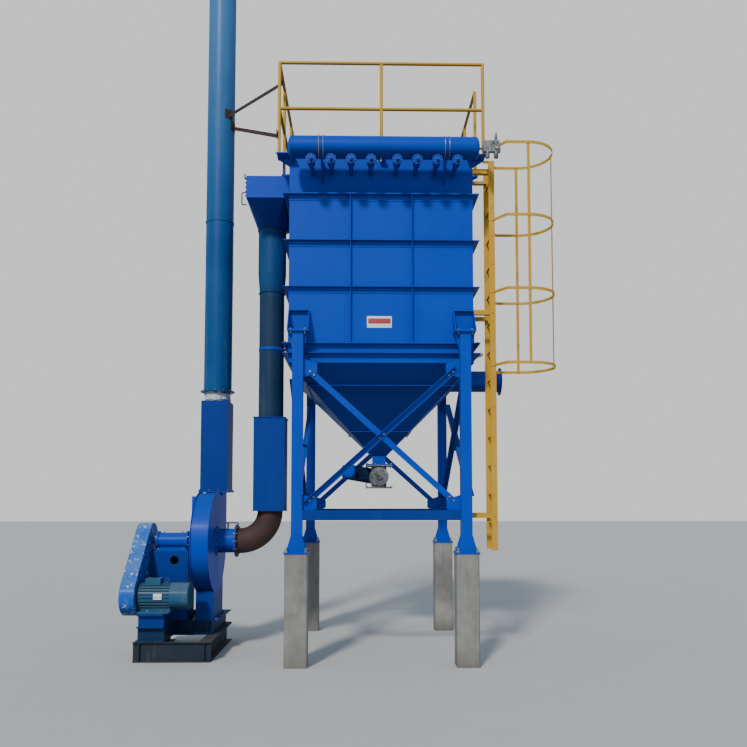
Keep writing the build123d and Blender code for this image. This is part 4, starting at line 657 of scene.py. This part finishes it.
def duct_bolts():
    """Bolts in the round and square flanges of the fan duct and stack."""
    stub = place(low("fan_inlet_ring").x + ROUND_FLANGE, FAN_Y, FAN_Z)
    elbow = place(low("fan_inlet_elbow").x + ROUND_FLANGE, FAN_Y, FAN_Z)
    ring = place(high("fan_inlet_ring").x - ROUND_FLANGE, FAN_Y, FAN_Z)
    casing_top = place(STACK_X, STACK_Y, high("fan_casing").z + BOX_FLANGE)
    places = ring_places(stub, RIGHT, STUB_CIRCLE, CIRCLE_BOLTS, STUB_TURN)
    places += ring_places(elbow, RIGHT, ELBOW_CIRCLE, CIRCLE_BOLTS)
    places += ring_places(ring, LEFT, ELBOW_CIRCLE, CIRCLE_BOLTS)
    places += ring_places(place(STACK_X, STACK_Y, STACK_FOOT), UP, STACK_CIRCLE, CIRCLE_BOLTS)
    places += frame_places(casing_top, BOX_HALF_X, BOX_HALF_Y, BOX_PITCH, UP)
    bolts("duct_bolts", places, DUCT_BOLT)


# Pulse valves: cover face, a pale rim that paints the covers' highlight, pilot cap and cable plug
VALVE_X, VALVE_Z = middle("tank_brackets").x, middle("pulse_valves").z
VALVE_GAP, VALVE_STEP, VALVE_PAIRS = 0.131, 0.200, 4
PILOT_TIP = low("pulse_valves").y
PILOT_LENGTH = 0.030
SCREW, SCREW_CIRCLE, SCREW_COUNT, SCREW_TURN, SCREW_SEAT = 0.0062, 0.041, 8, 0.2, 0.001
RIM_R, RIM_BAR, RIM_SEAT = 0.0495, 0.0018, 0.002
PILOT_CAP = ((0.0175, -0.012), (0.0184, -0.010), (0.0184, -0.005), (0.0175, -0.004))
PLUG_OFF, PLUG_SIZE, PLUG_BEVEL = Vector((0, 0.014, -0.022)), (0.020, 0.020, 0.018), 0.002


def valve_fittings():
    """Cover screws, pale rims that paint the covers' highlight, pale pilot caps and plugs on each pulse
    valve.
    """
    screws = []
    pilot_caps_and_highlight_rims = bmesh.new()
    plugs = bmesh.new()
    steps = [side * (VALVE_GAP + VALVE_STEP * pair) for pair in range(VALVE_PAIRS) for side in SIDES]
    for step in steps:
        tip = place(VALVE_X + step, PILOT_TIP, VALVE_Z)
        face = tip + BACK * PILOT_LENGTH
        screws += ring_places(face + BACK * SCREW_SEAT, FRONT, SCREW_CIRCLE, SCREW_COUNT, SCREW_TURN)
        # Pale zinc ring round the edge of each cover: a painted highlight
        hoop(pilot_caps_and_highlight_rims, face + BACK * RIM_SEAT, FRONT, RIM_R, RIM_BAR, 32, 6)
        lathe(pilot_caps_and_highlight_rims, PILOT_CAP, tip, FRONT, 24)
        plate(plugs, tip + PLUG_OFF, PLUG_SIZE, DOWN, PLUG_BEVEL)
    bolts("valve_screws", screws, SCREW, "dark_steel")
    finish_piece("pilot_nuts_and_highlight_rims", pilot_caps_and_highlight_rims, "zinc")
    finish_piece("pilot_plugs", plugs, "dark_steel")


# Air tank: bolts bent round it, welds of its heads and its drain
TANK = Vector((VALVE_X, low("tank_brackets").y, high("tank_brackets").z))
TANK_R = 0.110
HEAD_SEAM = 0.910
BRACKET_STEP = 0.631
U_BOLT_R, U_BOLT_HALF, U_BOLT_ROD = 0.1142, 0.022, 0.0042
DRAIN = ((0.014, -0.004), (0.014, 0.012), (0.009, 0.014), (0.009, 0.034))
DRAIN_STEP, TAP_DROP, TAP_START, TAP_END, TAP_BAR = 0.030, 0.026, 0.004, 0.045, 0.0035


def tank_fittings():
    """Bolts bent round the tank at its brackets, the welds of its heads, and its drain."""
    bent = bmesh.new()
    seams = bmesh.new()
    for side in SIDES:
        for step in (-U_BOLT_HALF, U_BOLT_HALF):
            x = TANK.x + side * BRACKET_STEP + step
            hoop(bent, place(x, TANK.y, TANK.z), RIGHT, U_BOLT_R, U_BOLT_ROD, 64)
        round_seam(seams, place(TANK.x + side * HEAD_SEAM, TANK.y, TANK.z), RIGHT, TANK_R, 72)
    finish_piece("tank_u_bolts", bent, "zinc")
    finish_piece("tank_welds", seams, "blue_steel")
    drain = bmesh.new()
    base = place(TANK.x - DRAIN_STEP, TANK.y, TANK.z - TANK_R)
    lathe(drain, DRAIN, base, DOWN, 6)
    tap = base + DOWN * TAP_DROP
    tube(drain, [tap + LEFT * TAP_START, tap + LEFT * TAP_END], TAP_BAR)
    finish_piece("tank_drain", drain, "zinc")


# Air regulator: filter bowl, lubricator bowl, knob and gauge
BOWLS = (1.064, 1.152)
BOWL_FOOT, KNOB_TOP = low("air_regulator").z, high("air_regulator").z
GAUGE_Y, GAUGE_Z = TANK.y - 0.028, TANK.z
# A guard bar runs round the bowl, stops short of a full ring and goes back through the bowl
GUARD_RINGS, GUARD_START, GUARD_STEP, GUARD_R, GUARD_BAR = 4, 0.010, 0.012, 0.0222, 0.0012
BOWL_PLUG = ((0.007, -0.002), (0.007, 0.008), (0.004, 0.012))
KNOB = ((0.006, -0.004), (0.006, 0.012), (0.0125, 0.014), (0.0125, 0.036), (0.009, 0.041))
GAUGE = ((0.019, -0.006), (0.019, 0.010), (0.017, 0.012), (0.016, 0.010))


def regulator_fittings():
    """Bowl guards, bowl plugs, adjusting knob and gauge of the air regulator."""
    bright = bmesh.new()
    dark = bmesh.new()
    for x in BOWLS:
        for count in range(GUARD_RINGS):
            centre = place(x, TANK.y, BOWL_FOOT + GUARD_START + GUARD_STEP * count)
            bar = [spot for spot, _ in ring_places(centre, UP, GUARD_R, 20)]
            tube(dark, [*bar, centre + RIGHT * GUARD_R], GUARD_BAR, 6)
        lathe(bright, BOWL_PLUG, place(x, TANK.y, BOWL_FOOT), DOWN, 10)
    lathe(bright, KNOB, place(BOWLS[1], TANK.y, KNOB_TOP), UP, 16)
    lathe(bright, GAUGE, place(BOWLS[1], GAUGE_Y, GAUGE_Z), FRONT, 24)
    finish_piece("regulator_nuts", bright, "zinc")
    finish_piece("bowl_guards", dark, "dark_steel")


# Handrail feet, ladder and cage
RAIL_X, RAIL_Y = middle("handrail_right").x, middle("handrail_rear").y
RAIL_FOOT = low("handrail_front").z - 0.001
SIDE_POSTS = (-0.530, 0.270)
FOOT_STEP = 0.030
LADDER_X, LADDER_Y = middle("ladder").x, middle("ladder").y
STRINGER = high("ladder").y - LADDER_Y
BRACKETS = (1.450, 3.550, 5.050)
BRACKET_BOLT_RISE = 0.020
CAGE_X, CAGE_R = 1.515, 0.308
CAGE_START, CAGE_STEP, CAGE_COUNT = low("ladder_cage").z, 0.765, 4
HOOP_HALF = 0.015
HOOP_END_X, HOOP_END_Y = 0.020, 0.006
ACCESS_BOLT = 0.009
RUNG_START, RUNG_STEP, RUNG_COUNT = low("ladder").z + 0.270, 0.300, 13
RUNG_WELD = ((0.016, -0.001), (0.0145, 0.003), (0.009, 0.0045))


def rail_bolts():
    """Two bolts at the foot of each rail post, along its own side of the roof."""
    ends = [(x, y, RIGHT) for x in (-RAIL_X, 0, RAIL_X) for y in (-RAIL_Y, RAIL_Y)]
    sides = [(x, y, BACK) for x in (-RAIL_X, RAIL_X) for y in SIDE_POSTS]
    places = []
    for x, y, along in ends + sides:
        for step in (-FOOT_STEP, FOOT_STEP):
            places.append((place(x, y, RAIL_FOOT) + along * step, UP))
    bolts("rail_bolts", places, ACCESS_BOLT)


def ladder_bolts():
    """Bolts at the ladder's brackets, the ends of the cage's hoops and its three straps."""
    places = []
    hoops = [CAGE_START + CAGE_STEP * count + HOOP_HALF for count in range(CAGE_COUNT)]
    for side in SIDES:
        for level in BRACKETS:
            y = LADDER_Y + side * STRINGER
            places.append((place(LADDER_X, y, level + BRACKET_BOLT_RISE), BACK * side))
        for level in hoops:
            y = LADDER_Y + side * (STRINGER + HOOP_END_Y)
            places.append((place(LADDER_X + HOOP_END_X, y, level), BACK * side))
    for level in hoops:
        for angle in (-pi / 2, 0, pi / 2):
            out = Vector((cos(angle), sin(angle), 0))
            places.append((place(CAGE_X, LADDER_Y, level) + out * CAGE_R, -out))
    bolts("ladder_bolts", places, ACCESS_BOLT, "yellow_steel")


def rung_welds():
    """Weld caps where the rungs come through the ladder's stringers."""
    mesh = bmesh.new()
    for side in SIDES:
        for count in range(RUNG_COUNT):
            spot = place(LADDER_X, LADDER_Y + side * STRINGER, RUNG_START + RUNG_STEP * count)
            lathe(mesh, RUNG_WELD, spot, BACK * side, 16)
    finish_piece("rung_welds", mesh, "yellow_steel")


# Fan motor: grille, feet, terminal box, eye and plate
MOTOR_Y, MOTOR_SEAT = middle("motor_base").y, high("motor_base").z
MOTOR_Z = MOTOR_SEAT + 0.160
MOTOR_R = 0.138
MOTOR_END, MOTOR_TOP = high("fan_motor").x, high("fan_motor").z
GRILLE_RINGS, GRILLE_RISE, RING_BAR = (0.030, 0.052, 0.074, 0.096, 0.118), 0.001, 0.0022
SPOKES, SPOKE_START, SPOKE_END, SPOKE_BAR = 8, 0.012, 0.122, 0.0024
MOTOR_FOOT_X, MOTOR_FOOT_Y, MOTOR_FOOT, MOTOR_BOLT = (-2.36, -2.22), 0.105, 0.018, 0.013
LID_X, LID_STEP_X, LID_STEP_Y, LID_SCREW = -2.320, 0.062, 0.047, 0.0065
EYE_X, EYE_R, EYE_RISE, EYE_BAR, EYE_STEPS = -2.19, 0.018, 0.026, 0.0048, 20
EYE_BOSS = ((0.016, -0.004), (0.016, 0.006), (0.010, 0.010))
TAG_X, TAG_Z, TAG_SEAT, TAG_SIZE, TAG_BEVEL = -2.2535, 0.660, 0.002, (0.085, 0.060, 0.004), 0.001


def cowl_grille():
    """Rings and spokes over the fan's air inlet at the motor's end."""
    mesh = bmesh.new()
    hub = place(MOTOR_END, MOTOR_Y, MOTOR_Z)
    for radius in GRILLE_RINGS:
        hoop(mesh, hub + RIGHT * GRILLE_RISE, RIGHT, radius, RING_BAR, 40, 6)
    for angle in angles(SPOKES):
        out = BACK * cos(angle) + UP * sin(angle)
        tube(mesh, [hub + out * SPOKE_START, hub + out * SPOKE_END], SPOKE_BAR, 6)
    finish_piece("cowl_grille", mesh, "motor_paint")


def motor_details():
    """Foot bolts, terminal box screws, lifting eye and a bare plate on the fan's motor."""
    feet = [(place(x, MOTOR_Y + side * MOTOR_FOOT_Y, MOTOR_SEAT + MOTOR_FOOT), UP)
            for x in MOTOR_FOOT_X for side in SIDES]
    bolts("motor_bolts", feet, MOTOR_BOLT)
    lid = [(place(LID_X + sx * LID_STEP_X, MOTOR_Y + sy * LID_STEP_Y, MOTOR_TOP), UP) for sx, sy in CORNERS]
    bolts("box_screws", lid, LID_SCREW)
    eye = bmesh.new()
    crown = place(EYE_X, MOTOR_Y, MOTOR_Z + MOTOR_R)
    lathe(eye, EYE_BOSS, crown, UP, 20)
    turns = [*angles(EYE_STEPS), 2 * pi]
    ring = [crown + UP * (EYE_RISE - EYE_R * cos(a)) + RIGHT * EYE_R * sin(a) for a in turns]
    tube(eye, ring, EYE_BAR)
    finish_piece("motor_eye", eye, "motor_paint")
    tag = bmesh.new()
    plate(tag, place(TAG_X, MOTOR_Y - MOTOR_R + TAG_SEAT, TAG_Z), TAG_SIZE, FRONT, TAG_BEVEL)
    finish_piece("motor_plate", tag, "white_plate")


# Fan bearing: end flanges, foot and grease points
BEARING_X = middle("bearing_housing").x
BEARING_CAP, BEARING_CIRCLE, FLANGE_BOLTS = 0.018, 0.089, 6
BEARING_FOOT = low("bearing_housing").z + 0.022
BEARING_STEP_X, BEARING_STEP_Y, BEARING_BOLT = 0.135, 0.102, 0.012
GREASE_STEP, GREASE_RISE = 0.100, 0.0875
GREASE_POINT = ((0.008, -0.004), (0.008, 0.006), (0.004, 0.009), (0.004, 0.016), (0.0055, 0.019))


def bearing_details():
    """Flange and foot bolts and grease points on the bearing housing."""
    left, right = low("bearing_housing").x + BEARING_CAP, high("bearing_housing").x - BEARING_CAP
    places = []
    for x, normal in ((left, LEFT), (right, RIGHT)):
        places += ring_places(place(x, FAN_Y, FAN_Z), normal, BEARING_CIRCLE, FLANGE_BOLTS, pi / FLANGE_BOLTS)
    for sx, sy in CORNERS:
        spot = place(BEARING_X + sx * BEARING_STEP_X, FAN_Y + sy * BEARING_STEP_Y, BEARING_FOOT)
        places.append((spot, UP))
    bolts("bearing_bolts", places, BEARING_BOLT)
    grease = bmesh.new()
    for side in SIDES:
        crown = place(BEARING_X + side * GREASE_STEP, FAN_Y, FAN_Z + GREASE_RISE)
        lathe(grease, GREASE_POINT, crown, UP, 10)
    finish_piece("grease_points", grease, "zinc")


# Rotary valve: end cover and bearing cap
ROTOR_Z = middle("rotary_valve").z
CAP_FACE = low("rotary_valve").y
COVER_FACE, NIPPLE_Y, NIPPLE_RISE = CAP_FACE + 0.026, CAP_FACE + 0.013, 0.031
COVER_CIRCLE, COVER_BOLTS, COVER_BOLT = 0.094, 8, 0.010
CAP_CIRCLE, CAP_BOLTS, CAP_BOLT = 0.022, 4, 0.006
NIPPLE = ((0.006, -0.003), (0.006, 0.006), (0.003, 0.014))


def rotary_details():
    """Bolts of the rotary valve's cover and bearing cap, and the cap's grease nipple."""
    cover, cap = place(0, COVER_FACE, ROTOR_Z), place(0, CAP_FACE, ROTOR_Z)
    bolts("cover_bolts", ring_places(cover, FRONT, COVER_CIRCLE, COVER_BOLTS, pi / COVER_BOLTS), COVER_BOLT)
    bolts("cap_bolts", ring_places(cap, FRONT, CAP_CIRCLE, CAP_BOLTS, pi / CAP_BOLTS), CAP_BOLT)
    nipple = bmesh.new()
    lathe(nipple, NIPPLE, place(0, NIPPLE_Y, ROTOR_Z + NIPPLE_RISE), UP, 10)
    finish_piece("rotor_nipple", nipple, "zinc")


# Fan stand: three bolts along each foot
STAND_EDGE_X, STAND_EDGE_Y, STAND_FOOT, STAND_BOLT = 0.025, 0.030, 0.010, 0.013


def fan_details():
    """Bolts in the two feet of the fan's stand."""
    near, far, centre = low("fan_legs"), high("fan_legs"), middle("fan_legs")
    rows = (near.y + STAND_EDGE_Y, centre.y, far.y - STAND_EDGE_Y)
    feet = (near.x + STAND_EDGE_X, far.x - STAND_EDGE_X)
    places = [(place(x, y, near.z + STAND_FOOT), UP) for x in feet for y in rows]
    bolts("fan_foot_bolts", places, STAND_BOLT)


# Handles of the roof covers
COVER_COUNT, COVER_PITCH = 4, 0.4625
COVER_TOP = high("roof_covers").z
HANDLE_Y, HANDLE_HALF, HANDLE_RISE, HANDLE_SINK = 0.62, 0.07, 0.052, 0.003
HANDLE_BEND, HANDLE_BAR = 0.018, 0.006
HANDLE_WELD = ((0.011, 0.001), (0.009, 0.006), (0.006, 0.008))


def cover_handles():
    """Bent rod handles on the four roof covers, welded on."""
    mesh = bmesh.new()
    foot = COVER_TOP - HANDLE_SINK
    for count in range(COVER_COUNT):
        x = COVER_PITCH * (count - (COVER_COUNT - 1) / 2)
        left, right = x - HANDLE_HALF, x + HANDLE_HALF
        for y in (-HANDLE_Y, HANDLE_Y):
            outline = [(left, foot), (left, foot + HANDLE_RISE), (right, foot + HANDLE_RISE), (right, foot)]
            bent_rod(mesh, outline, y, HANDLE_BEND, HANDLE_BAR)
            for end in (left, right):
                lathe(mesh, HANDLE_WELD, place(end, y, foot), UP, 12)
    finish_piece("cover_handles", mesh, "blue_steel")


# Bare sign on the front wall
SIGN_X, SIGN_Z, SIGN_SIZE = -0.019, 3.4635, (0.256, 0.121)
SIGN_OFF, SIGN_THICK, SIGN_BEVEL = 0.0015, 0.004, 0.001
BAND_MARGIN, BAND_TALL, BAND_RISE, BAND_THICK, BAND_BEVEL = 0.024, 0.46, 0.08, 0.002, 0.0005
RIVET_INSET, RIVET = 0.010, ((0.004, -0.001), (0.004, 0.001), (0.002, 0.0022))


def sign_plate():
    """Plain white plate with a plain red band and four rivets."""
    width, tall = SIGN_SIZE
    centre = place(SIGN_X, -HALF_Y - SIGN_OFF, SIGN_Z)
    face = centre + FRONT * SIGN_THICK / 2
    mesh = bmesh.new()
    plate(mesh, centre, (width, tall, SIGN_THICK), FRONT, SIGN_BEVEL)
    finish_piece("sign_plate", mesh, "white_plate")
    band = bmesh.new()
    band_size = (width - BAND_MARGIN, tall * BAND_TALL, BAND_THICK)
    plate(band, face + UP * tall * BAND_RISE, band_size, FRONT, BAND_BEVEL)
    finish_piece("sign_band", band, "red_plate")
    rivets = bmesh.new()
    for sx, sz in CORNERS:
        step = RIGHT * sx * (width / 2 - RIVET_INSET) + UP * sz * (tall / 2 - RIVET_INSET)
        lathe(rivets, RIVET, face + step, FRONT, 10)
    finish_piece("sign_rivets", rivets, "zinc")


# Level probe through the skirt of the hopper
PROBE_Y, PROBE_INSET, PROBE_FOOT = -0.500, 0.060, 3.100
PROBE_TIP_X, PROBE_TIP_Z, PROBE_R = 1.104, 3.215, 0.012
PROBE_CAP = ((0.019, -0.012), (0.019, 0.014), (0.014, 0.020))


def level_probe():
    """Slanting level probe with its pale cap."""
    foot = place(HALF_X - PROBE_INSET, PROBE_Y, PROBE_FOOT)
    tip = place(PROBE_TIP_X, PROBE_Y, PROBE_TIP_Z)
    probe = bmesh.new()
    tube(probe, [foot, tip], PROBE_R, 12)
    finish_piece("level_probe", probe, "zinc")
    cap = bmesh.new()
    lathe(cap, PROBE_CAP, tip, tip - foot, 16)
    finish_piece("probe_cap", cap, "white_plate")


# Rods and lugs on the duct side: outlines are (x, height), the hood's ones from its left face
HOOD_LEFT, HOOD_FRONT = low("outlet_hood").x, low("outlet_hood").y
HOOD_INSET, ROD = 0.020, 0.0065
HOOD_HANDLE = ((0.004, 4.896), (-0.046, 4.896), (-0.046, 4.766), (0.004, 4.766))
HOOD_HOOK = ((0.020, 5.045), (-0.016, 5.045), (-0.016, 5.104))
LEVER_POST, LEVER_FOOT, LEVER_POST_R = -1.665, 1.315, 0.009
LEVER = ((-1.690, 1.384), (-1.560, 1.384), (-1.546, 1.362))
EDGE_INSET, EDGE_START, EDGE_STEP, EDGE_COUNT, EDGE_BOLT = 0.018, 4.862, 0.0475, 5, 0.011
CASING_LEFT = STACK_X - 0.095
CASING_LUG, CASING_LUG_OUT, CASING_LUG_Z, CASING_LUG_BEVEL = (0.098, 0.270, 0.008), 0.046, 1.541, 0.002
CLIP = ((-0.950, 5.010), (-1.018, 5.010), (-1.018, 5.165))
CLIP_R = 0.010


def duct_fittings():
    """Handle, hook and bolts on the hood, lever over the fan stub, lug on the casing, clip on the plenum."""
    rods = bmesh.new()
    for outline, bend in ((HOOD_HANDLE, 0.014), (HOOD_HOOK, 0.010)):
        bent_rod(rods, [(HOOD_LEFT + x, z) for x, z in outline], HOOD_FRONT + HOOD_INSET, bend, ROD)
    tube(rods, [place(LEVER_POST, FAN_Y, z) for z in (LEVER_FOOT, LEVER[0][1])], LEVER_POST_R)
    bent_rod(rods, LEVER, FAN_Y, 0.008, ROD)
    finish_piece("duct_rods", rods, "dark_steel")
    levels = [EDGE_START + EDGE_STEP * k for k in range(EDGE_COUNT)]
    edge = [(place(HOOD_LEFT, HOOD_FRONT + EDGE_INSET, level), LEFT) for level in levels]
    bolts("hood_bolts", edge, EDGE_BOLT, "dark_steel")
    lugs = bmesh.new()
    plate(lugs, place(CASING_LEFT - CASING_LUG_OUT, FAN_Y, CASING_LUG_Z), CASING_LUG, FRONT, CASING_LUG_BEVEL)
    bent_rod(lugs, CLIP, -HALF_Y + HOOD_INSET, 0.020, CLIP_R)
    finish_piece("side_lugs", lugs, "blue_steel")


# Welds where plates and pipes meet
COLUMN_HALF = 0.055
STACK_R, STACK_BEAD_OUT = 0.160, 0.0005
STACK_JOINTS, JOINT_HEIGHT = (4.890, 7.800), 0.020
ELBOW_R, ELBOW_DROP = 0.1385, 0.001
RIB, RIB_HALF = 0.3183, 0.0045
RIB_FOOT, RIB_HEAD = HOUSING_BOTTOM + 0.010, PLENUM_BOTTOM - 0.005
HOPPER_TOP, HOPPER_FOOT, NECK_HALF = 3.040, 2.130, 0.075


def pipe_welds():
    """Beads at the column feet, round the stack and where the elbow meets the duct box."""
    feet = bmesh.new()
    for column in COLUMNS:
        foot = middle(column)
        for start, end in rectangle_sides(place(foot.x, foot.y, BASE_TOP), COLUMN_HALF, COLUMN_HALF):
            seam(feet, start, end)
    finish_piece("foot_welds", feet, "blue_steel")
    pipe = bmesh.new()
    round_seam(pipe, place(STACK_X, STACK_Y, STACK_FOOT), UP, STACK_R)
    for level in STACK_JOINTS:
        for rise in (0, JOINT_HEIGHT):
            round_seam(pipe, place(STACK_X, STACK_Y, level + rise), UP, STACK_R + STACK_BEAD_OUT)
    finish_piece("stack_welds", pipe, "dusty_blue_steel")
    elbow = bmesh.new()
    duct = middle("downcomer_box")
    round_seam(elbow, place(duct.x, duct.y, low("downcomer_box").z - ELBOW_DROP), UP, ELBOW_R)
    finish_piece("elbow_weld", elbow, "rusty_steel")


def wall_welds():
    """Beads beside the walls' ribs, and along the hopper's four sloping corners."""
    ribs = bmesh.new()
    for rib in (-RIB, RIB):
        for step in (rib - RIB_HALF, rib + RIB_HALF):
            for side in SIDES:
                seam(ribs, place(step, side * HALF_Y, RIB_FOOT), place(step, side * HALF_Y, RIB_HEAD))
                seam(ribs, place(side * HALF_X, step, RIB_FOOT), place(side * HALF_X, step, RIB_HEAD))
    finish_piece("rib_welds", ribs, "blue_steel")
    corners = bmesh.new()
    for sx, sy in CORNERS:
        start = place(sx * HALF_X, sy * HALF_Y, HOPPER_TOP)
        seam(corners, start, place(sx * NECK_HALF, sy * NECK_HALF, HOPPER_FOOT))
    finish_piece("hopper_welds", corners, "blue_steel")


# Cloth sleeve between the fan's discharge and the stack
SLEEVE_BOTTOM, SLEEVE_TOP = low("flexible_sleeve").z, high("flexible_sleeve").z
SLEEVE_R, SLEEVE_LAP, CLOTH = 0.148, 0.012, 0.0012
CLOTH_IN = 0.0003
CLOTH_ROWS, CLOTH_SIDES = 22, 96
# Folds: depth, folds round the sleeve, drift up its height and start
FOLDS = ((0.0040, 9, 3.2, 0.0), (0.0030, 14, -4.1, 1.3), (0.0020, 23, 7.0, 0.0))
SAG, OVAL, BULGE, FULLNESS = 0.0055, 0.0035, 0.0028, 0.8
BAND, BAND_END, BAND_IN, BAND_OUT, BAND_EDGE = 0.022, 0.004, 0.001, 0.0015, 0.001
CLAMP_SIZE, CLAMP_OUT, CLAMP_BEVEL = (0.040, 0.014, 0.008), 0.003, 0.002


def cloth_radius(angle, t):
    """Radius of the slack cloth at an angle and at a share t of its height."""
    fold = sum(depth * sin(turns * angle + drift * t + start) for depth, turns, drift, start in FOLDS)
    sag = -SAG + OVAL * sin(2 * angle + 0.7) + BULGE * sin(3 * pi * t + 2 * angle)
    return SLEEVE_R + sin(pi * t) ** FULLNESS * (sag + fold) - CLOTH_IN


def sleeve_cloth():
    """Open canvas tube with slack folds."""
    mesh = bmesh.new()
    rings = []
    for row in range(CLOTH_ROWS + 1):
        t = row / CLOTH_ROWS
        level = SLEEVE_BOTTOM + (SLEEVE_TOP - SLEEVE_BOTTOM) * t
        ring = []
        for a in angles(CLOTH_SIDES):
            radius = cloth_radius(a, t)
            spot = place(STACK_X + radius * cos(a), STACK_Y + radius * sin(a), level)
            ring.append(mesh.verts.new(spot))
        rings.append(ring)
    bridge(mesh, rings, closed=False)
    cloth = finish_piece("sleeve_cloth", mesh, "canvas")
    thick = cloth.modifiers.new("cloth", "SOLIDIFY")
    thick.thickness = CLOTH
    thick.offset = -1
    return cloth


def sleeve_bands():
    """Steel bands with their clamps at both ends of the sleeve."""
    mesh = bmesh.new()
    inner, outer = SLEEVE_R - BAND_IN, SLEEVE_R + BAND_OUT
    profile = ((inner, 0), (outer, BAND_EDGE), (outer, BAND - BAND_EDGE), (inner, BAND))
    for level in (SLEEVE_BOTTOM + BAND_END, SLEEVE_TOP - BAND_END - BAND):
        centre = place(STACK_X, STACK_Y, level)
        loops = [[mesh.verts.new(centre + point) for point in circle(*ring, CLOTH_SIDES)] for ring in profile]
        bridge(mesh, loops + [loops[0]], closed=False)
        clamp = centre + FRONT * (SLEEVE_R + CLAMP_OUT) + UP * BAND / 2
        plate(mesh, clamp, CLAMP_SIZE, FRONT, CLAMP_BEVEL)
    return finish_piece("sleeve_bands", mesh, "zinc")


def sleeve():
    """Canvas sleeve that stands for the plain one, clamped at both ends."""
    cloth = sleeve_cloth()
    straps = sleeve_bands()
    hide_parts("flexible_sleeve")


# Camera in front of the filter: picture size, focal length and the lens axis's row in pixels
PICTURE, FOCAL, AXIS_ROW = 747, 770, 452
SENSOR = 36
CAMERA_AT = place(-0.23, -8.8, 1.6)
TILT, PAN = 3.8, -1.1


def set_camera():
    """Camera at eye height in front of the filter."""
    data = bpy.data.cameras.new("camera")
    camera = add("camera", data)
    camera.location = CAMERA_AT
    camera.rotation_euler = (radians(90 + TILT), 0, radians(PAN))
    data.sensor_width = SENSOR
    data.lens = SENSOR * FOCAL / PICTURE
    data.shift_y = (AXIS_ROW - PICTURE / 2) / PICTURE
    data.clip_end = 200
    bpy.context.scene.camera = camera


SKY, BACKDROP = rgb(0.72, 0.86, 1.0), rgb(0.86, 0.87, 0.88)


def light_world():
    """Cool soft light from all round, before a pale backdrop."""
    world = bpy.data.worlds.new("studio")
    bpy.context.scene.world = world
    world.use_nodes = True
    sky = world.node_tree
    background = sky.nodes["Background"]
    backdrop = sky.nodes.new("ShaderNodeBackground")
    for shade, colour, strength in ((background, SKY, 0.50), (backdrop, BACKDROP, 1.0)):
        shade.inputs["Color"].default_value = colour
        shade.inputs["Strength"].default_value = strength
    paths = sky.nodes.new("ShaderNodeLightPath")
    blend = sky.nodes.new("ShaderNodeMixShader")
    sky.links.new(paths.outputs["Is Camera Ray"], blend.inputs[0])
    sky.links.new(background.outputs[0], blend.inputs[1])
    sky.links.new(backdrop.outputs[0], blend.inputs[2])
    sky.links.new(blend.outputs[0], sky.nodes["World Output"].inputs["Surface"])


SUN_FROM = Vector((-0.30, -0.85, 0.66))
SUN_ENERGY, SUN_ANGLE, SUN_COLOUR = 2.6, 7, (1.0, 0.97, 0.92)


def light_sun():
    """Warm, slightly soft light from the front left."""
    data = bpy.data.lights.new("sun", "SUN")
    data.energy = SUN_ENERGY
    data.angle = radians(SUN_ANGLE)
    data.color = SUN_COLOUR
    add("sun", data).rotation_euler = SUN_FROM.to_track_quat("Z", "Y").to_euler()


FLOOR_REACH = 60


def lay_floor():
    """Plain pale floor."""
    mesh = bmesh.new()
    bmesh.ops.create_grid(mesh, x_segments=2, y_segments=2, size=FLOOR_REACH)
    data = mesh_data("floor", mesh)
    floor = add("floor", data)
    shader = Shader("floor_paint", Roughness=0.85)
    clouds = shader.noise(3.0, 4.0, 0.5)
    shader.set("Base Color", shader.mix(clouds, rgb(0.56, 0.56, 0.55), rgb(0.60, 0.60, 0.59)))
    data.materials.append(shader.material)


dress_nodes()
column_bolts()
brace_bolts()
flange_bolts()
duct_bolts()
valve_fittings()
tank_fittings()
regulator_fittings()
rail_bolts()
ladder_bolts()
rung_welds()
cowl_grille()
motor_details()
bearing_details()
rotary_details()
fan_details()
cover_handles()
sign_plate()
level_probe()
duct_fittings()
pipe_welds()
wall_welds()
sleeve()
set_camera()
light_world()
light_sun()
lay_floor()
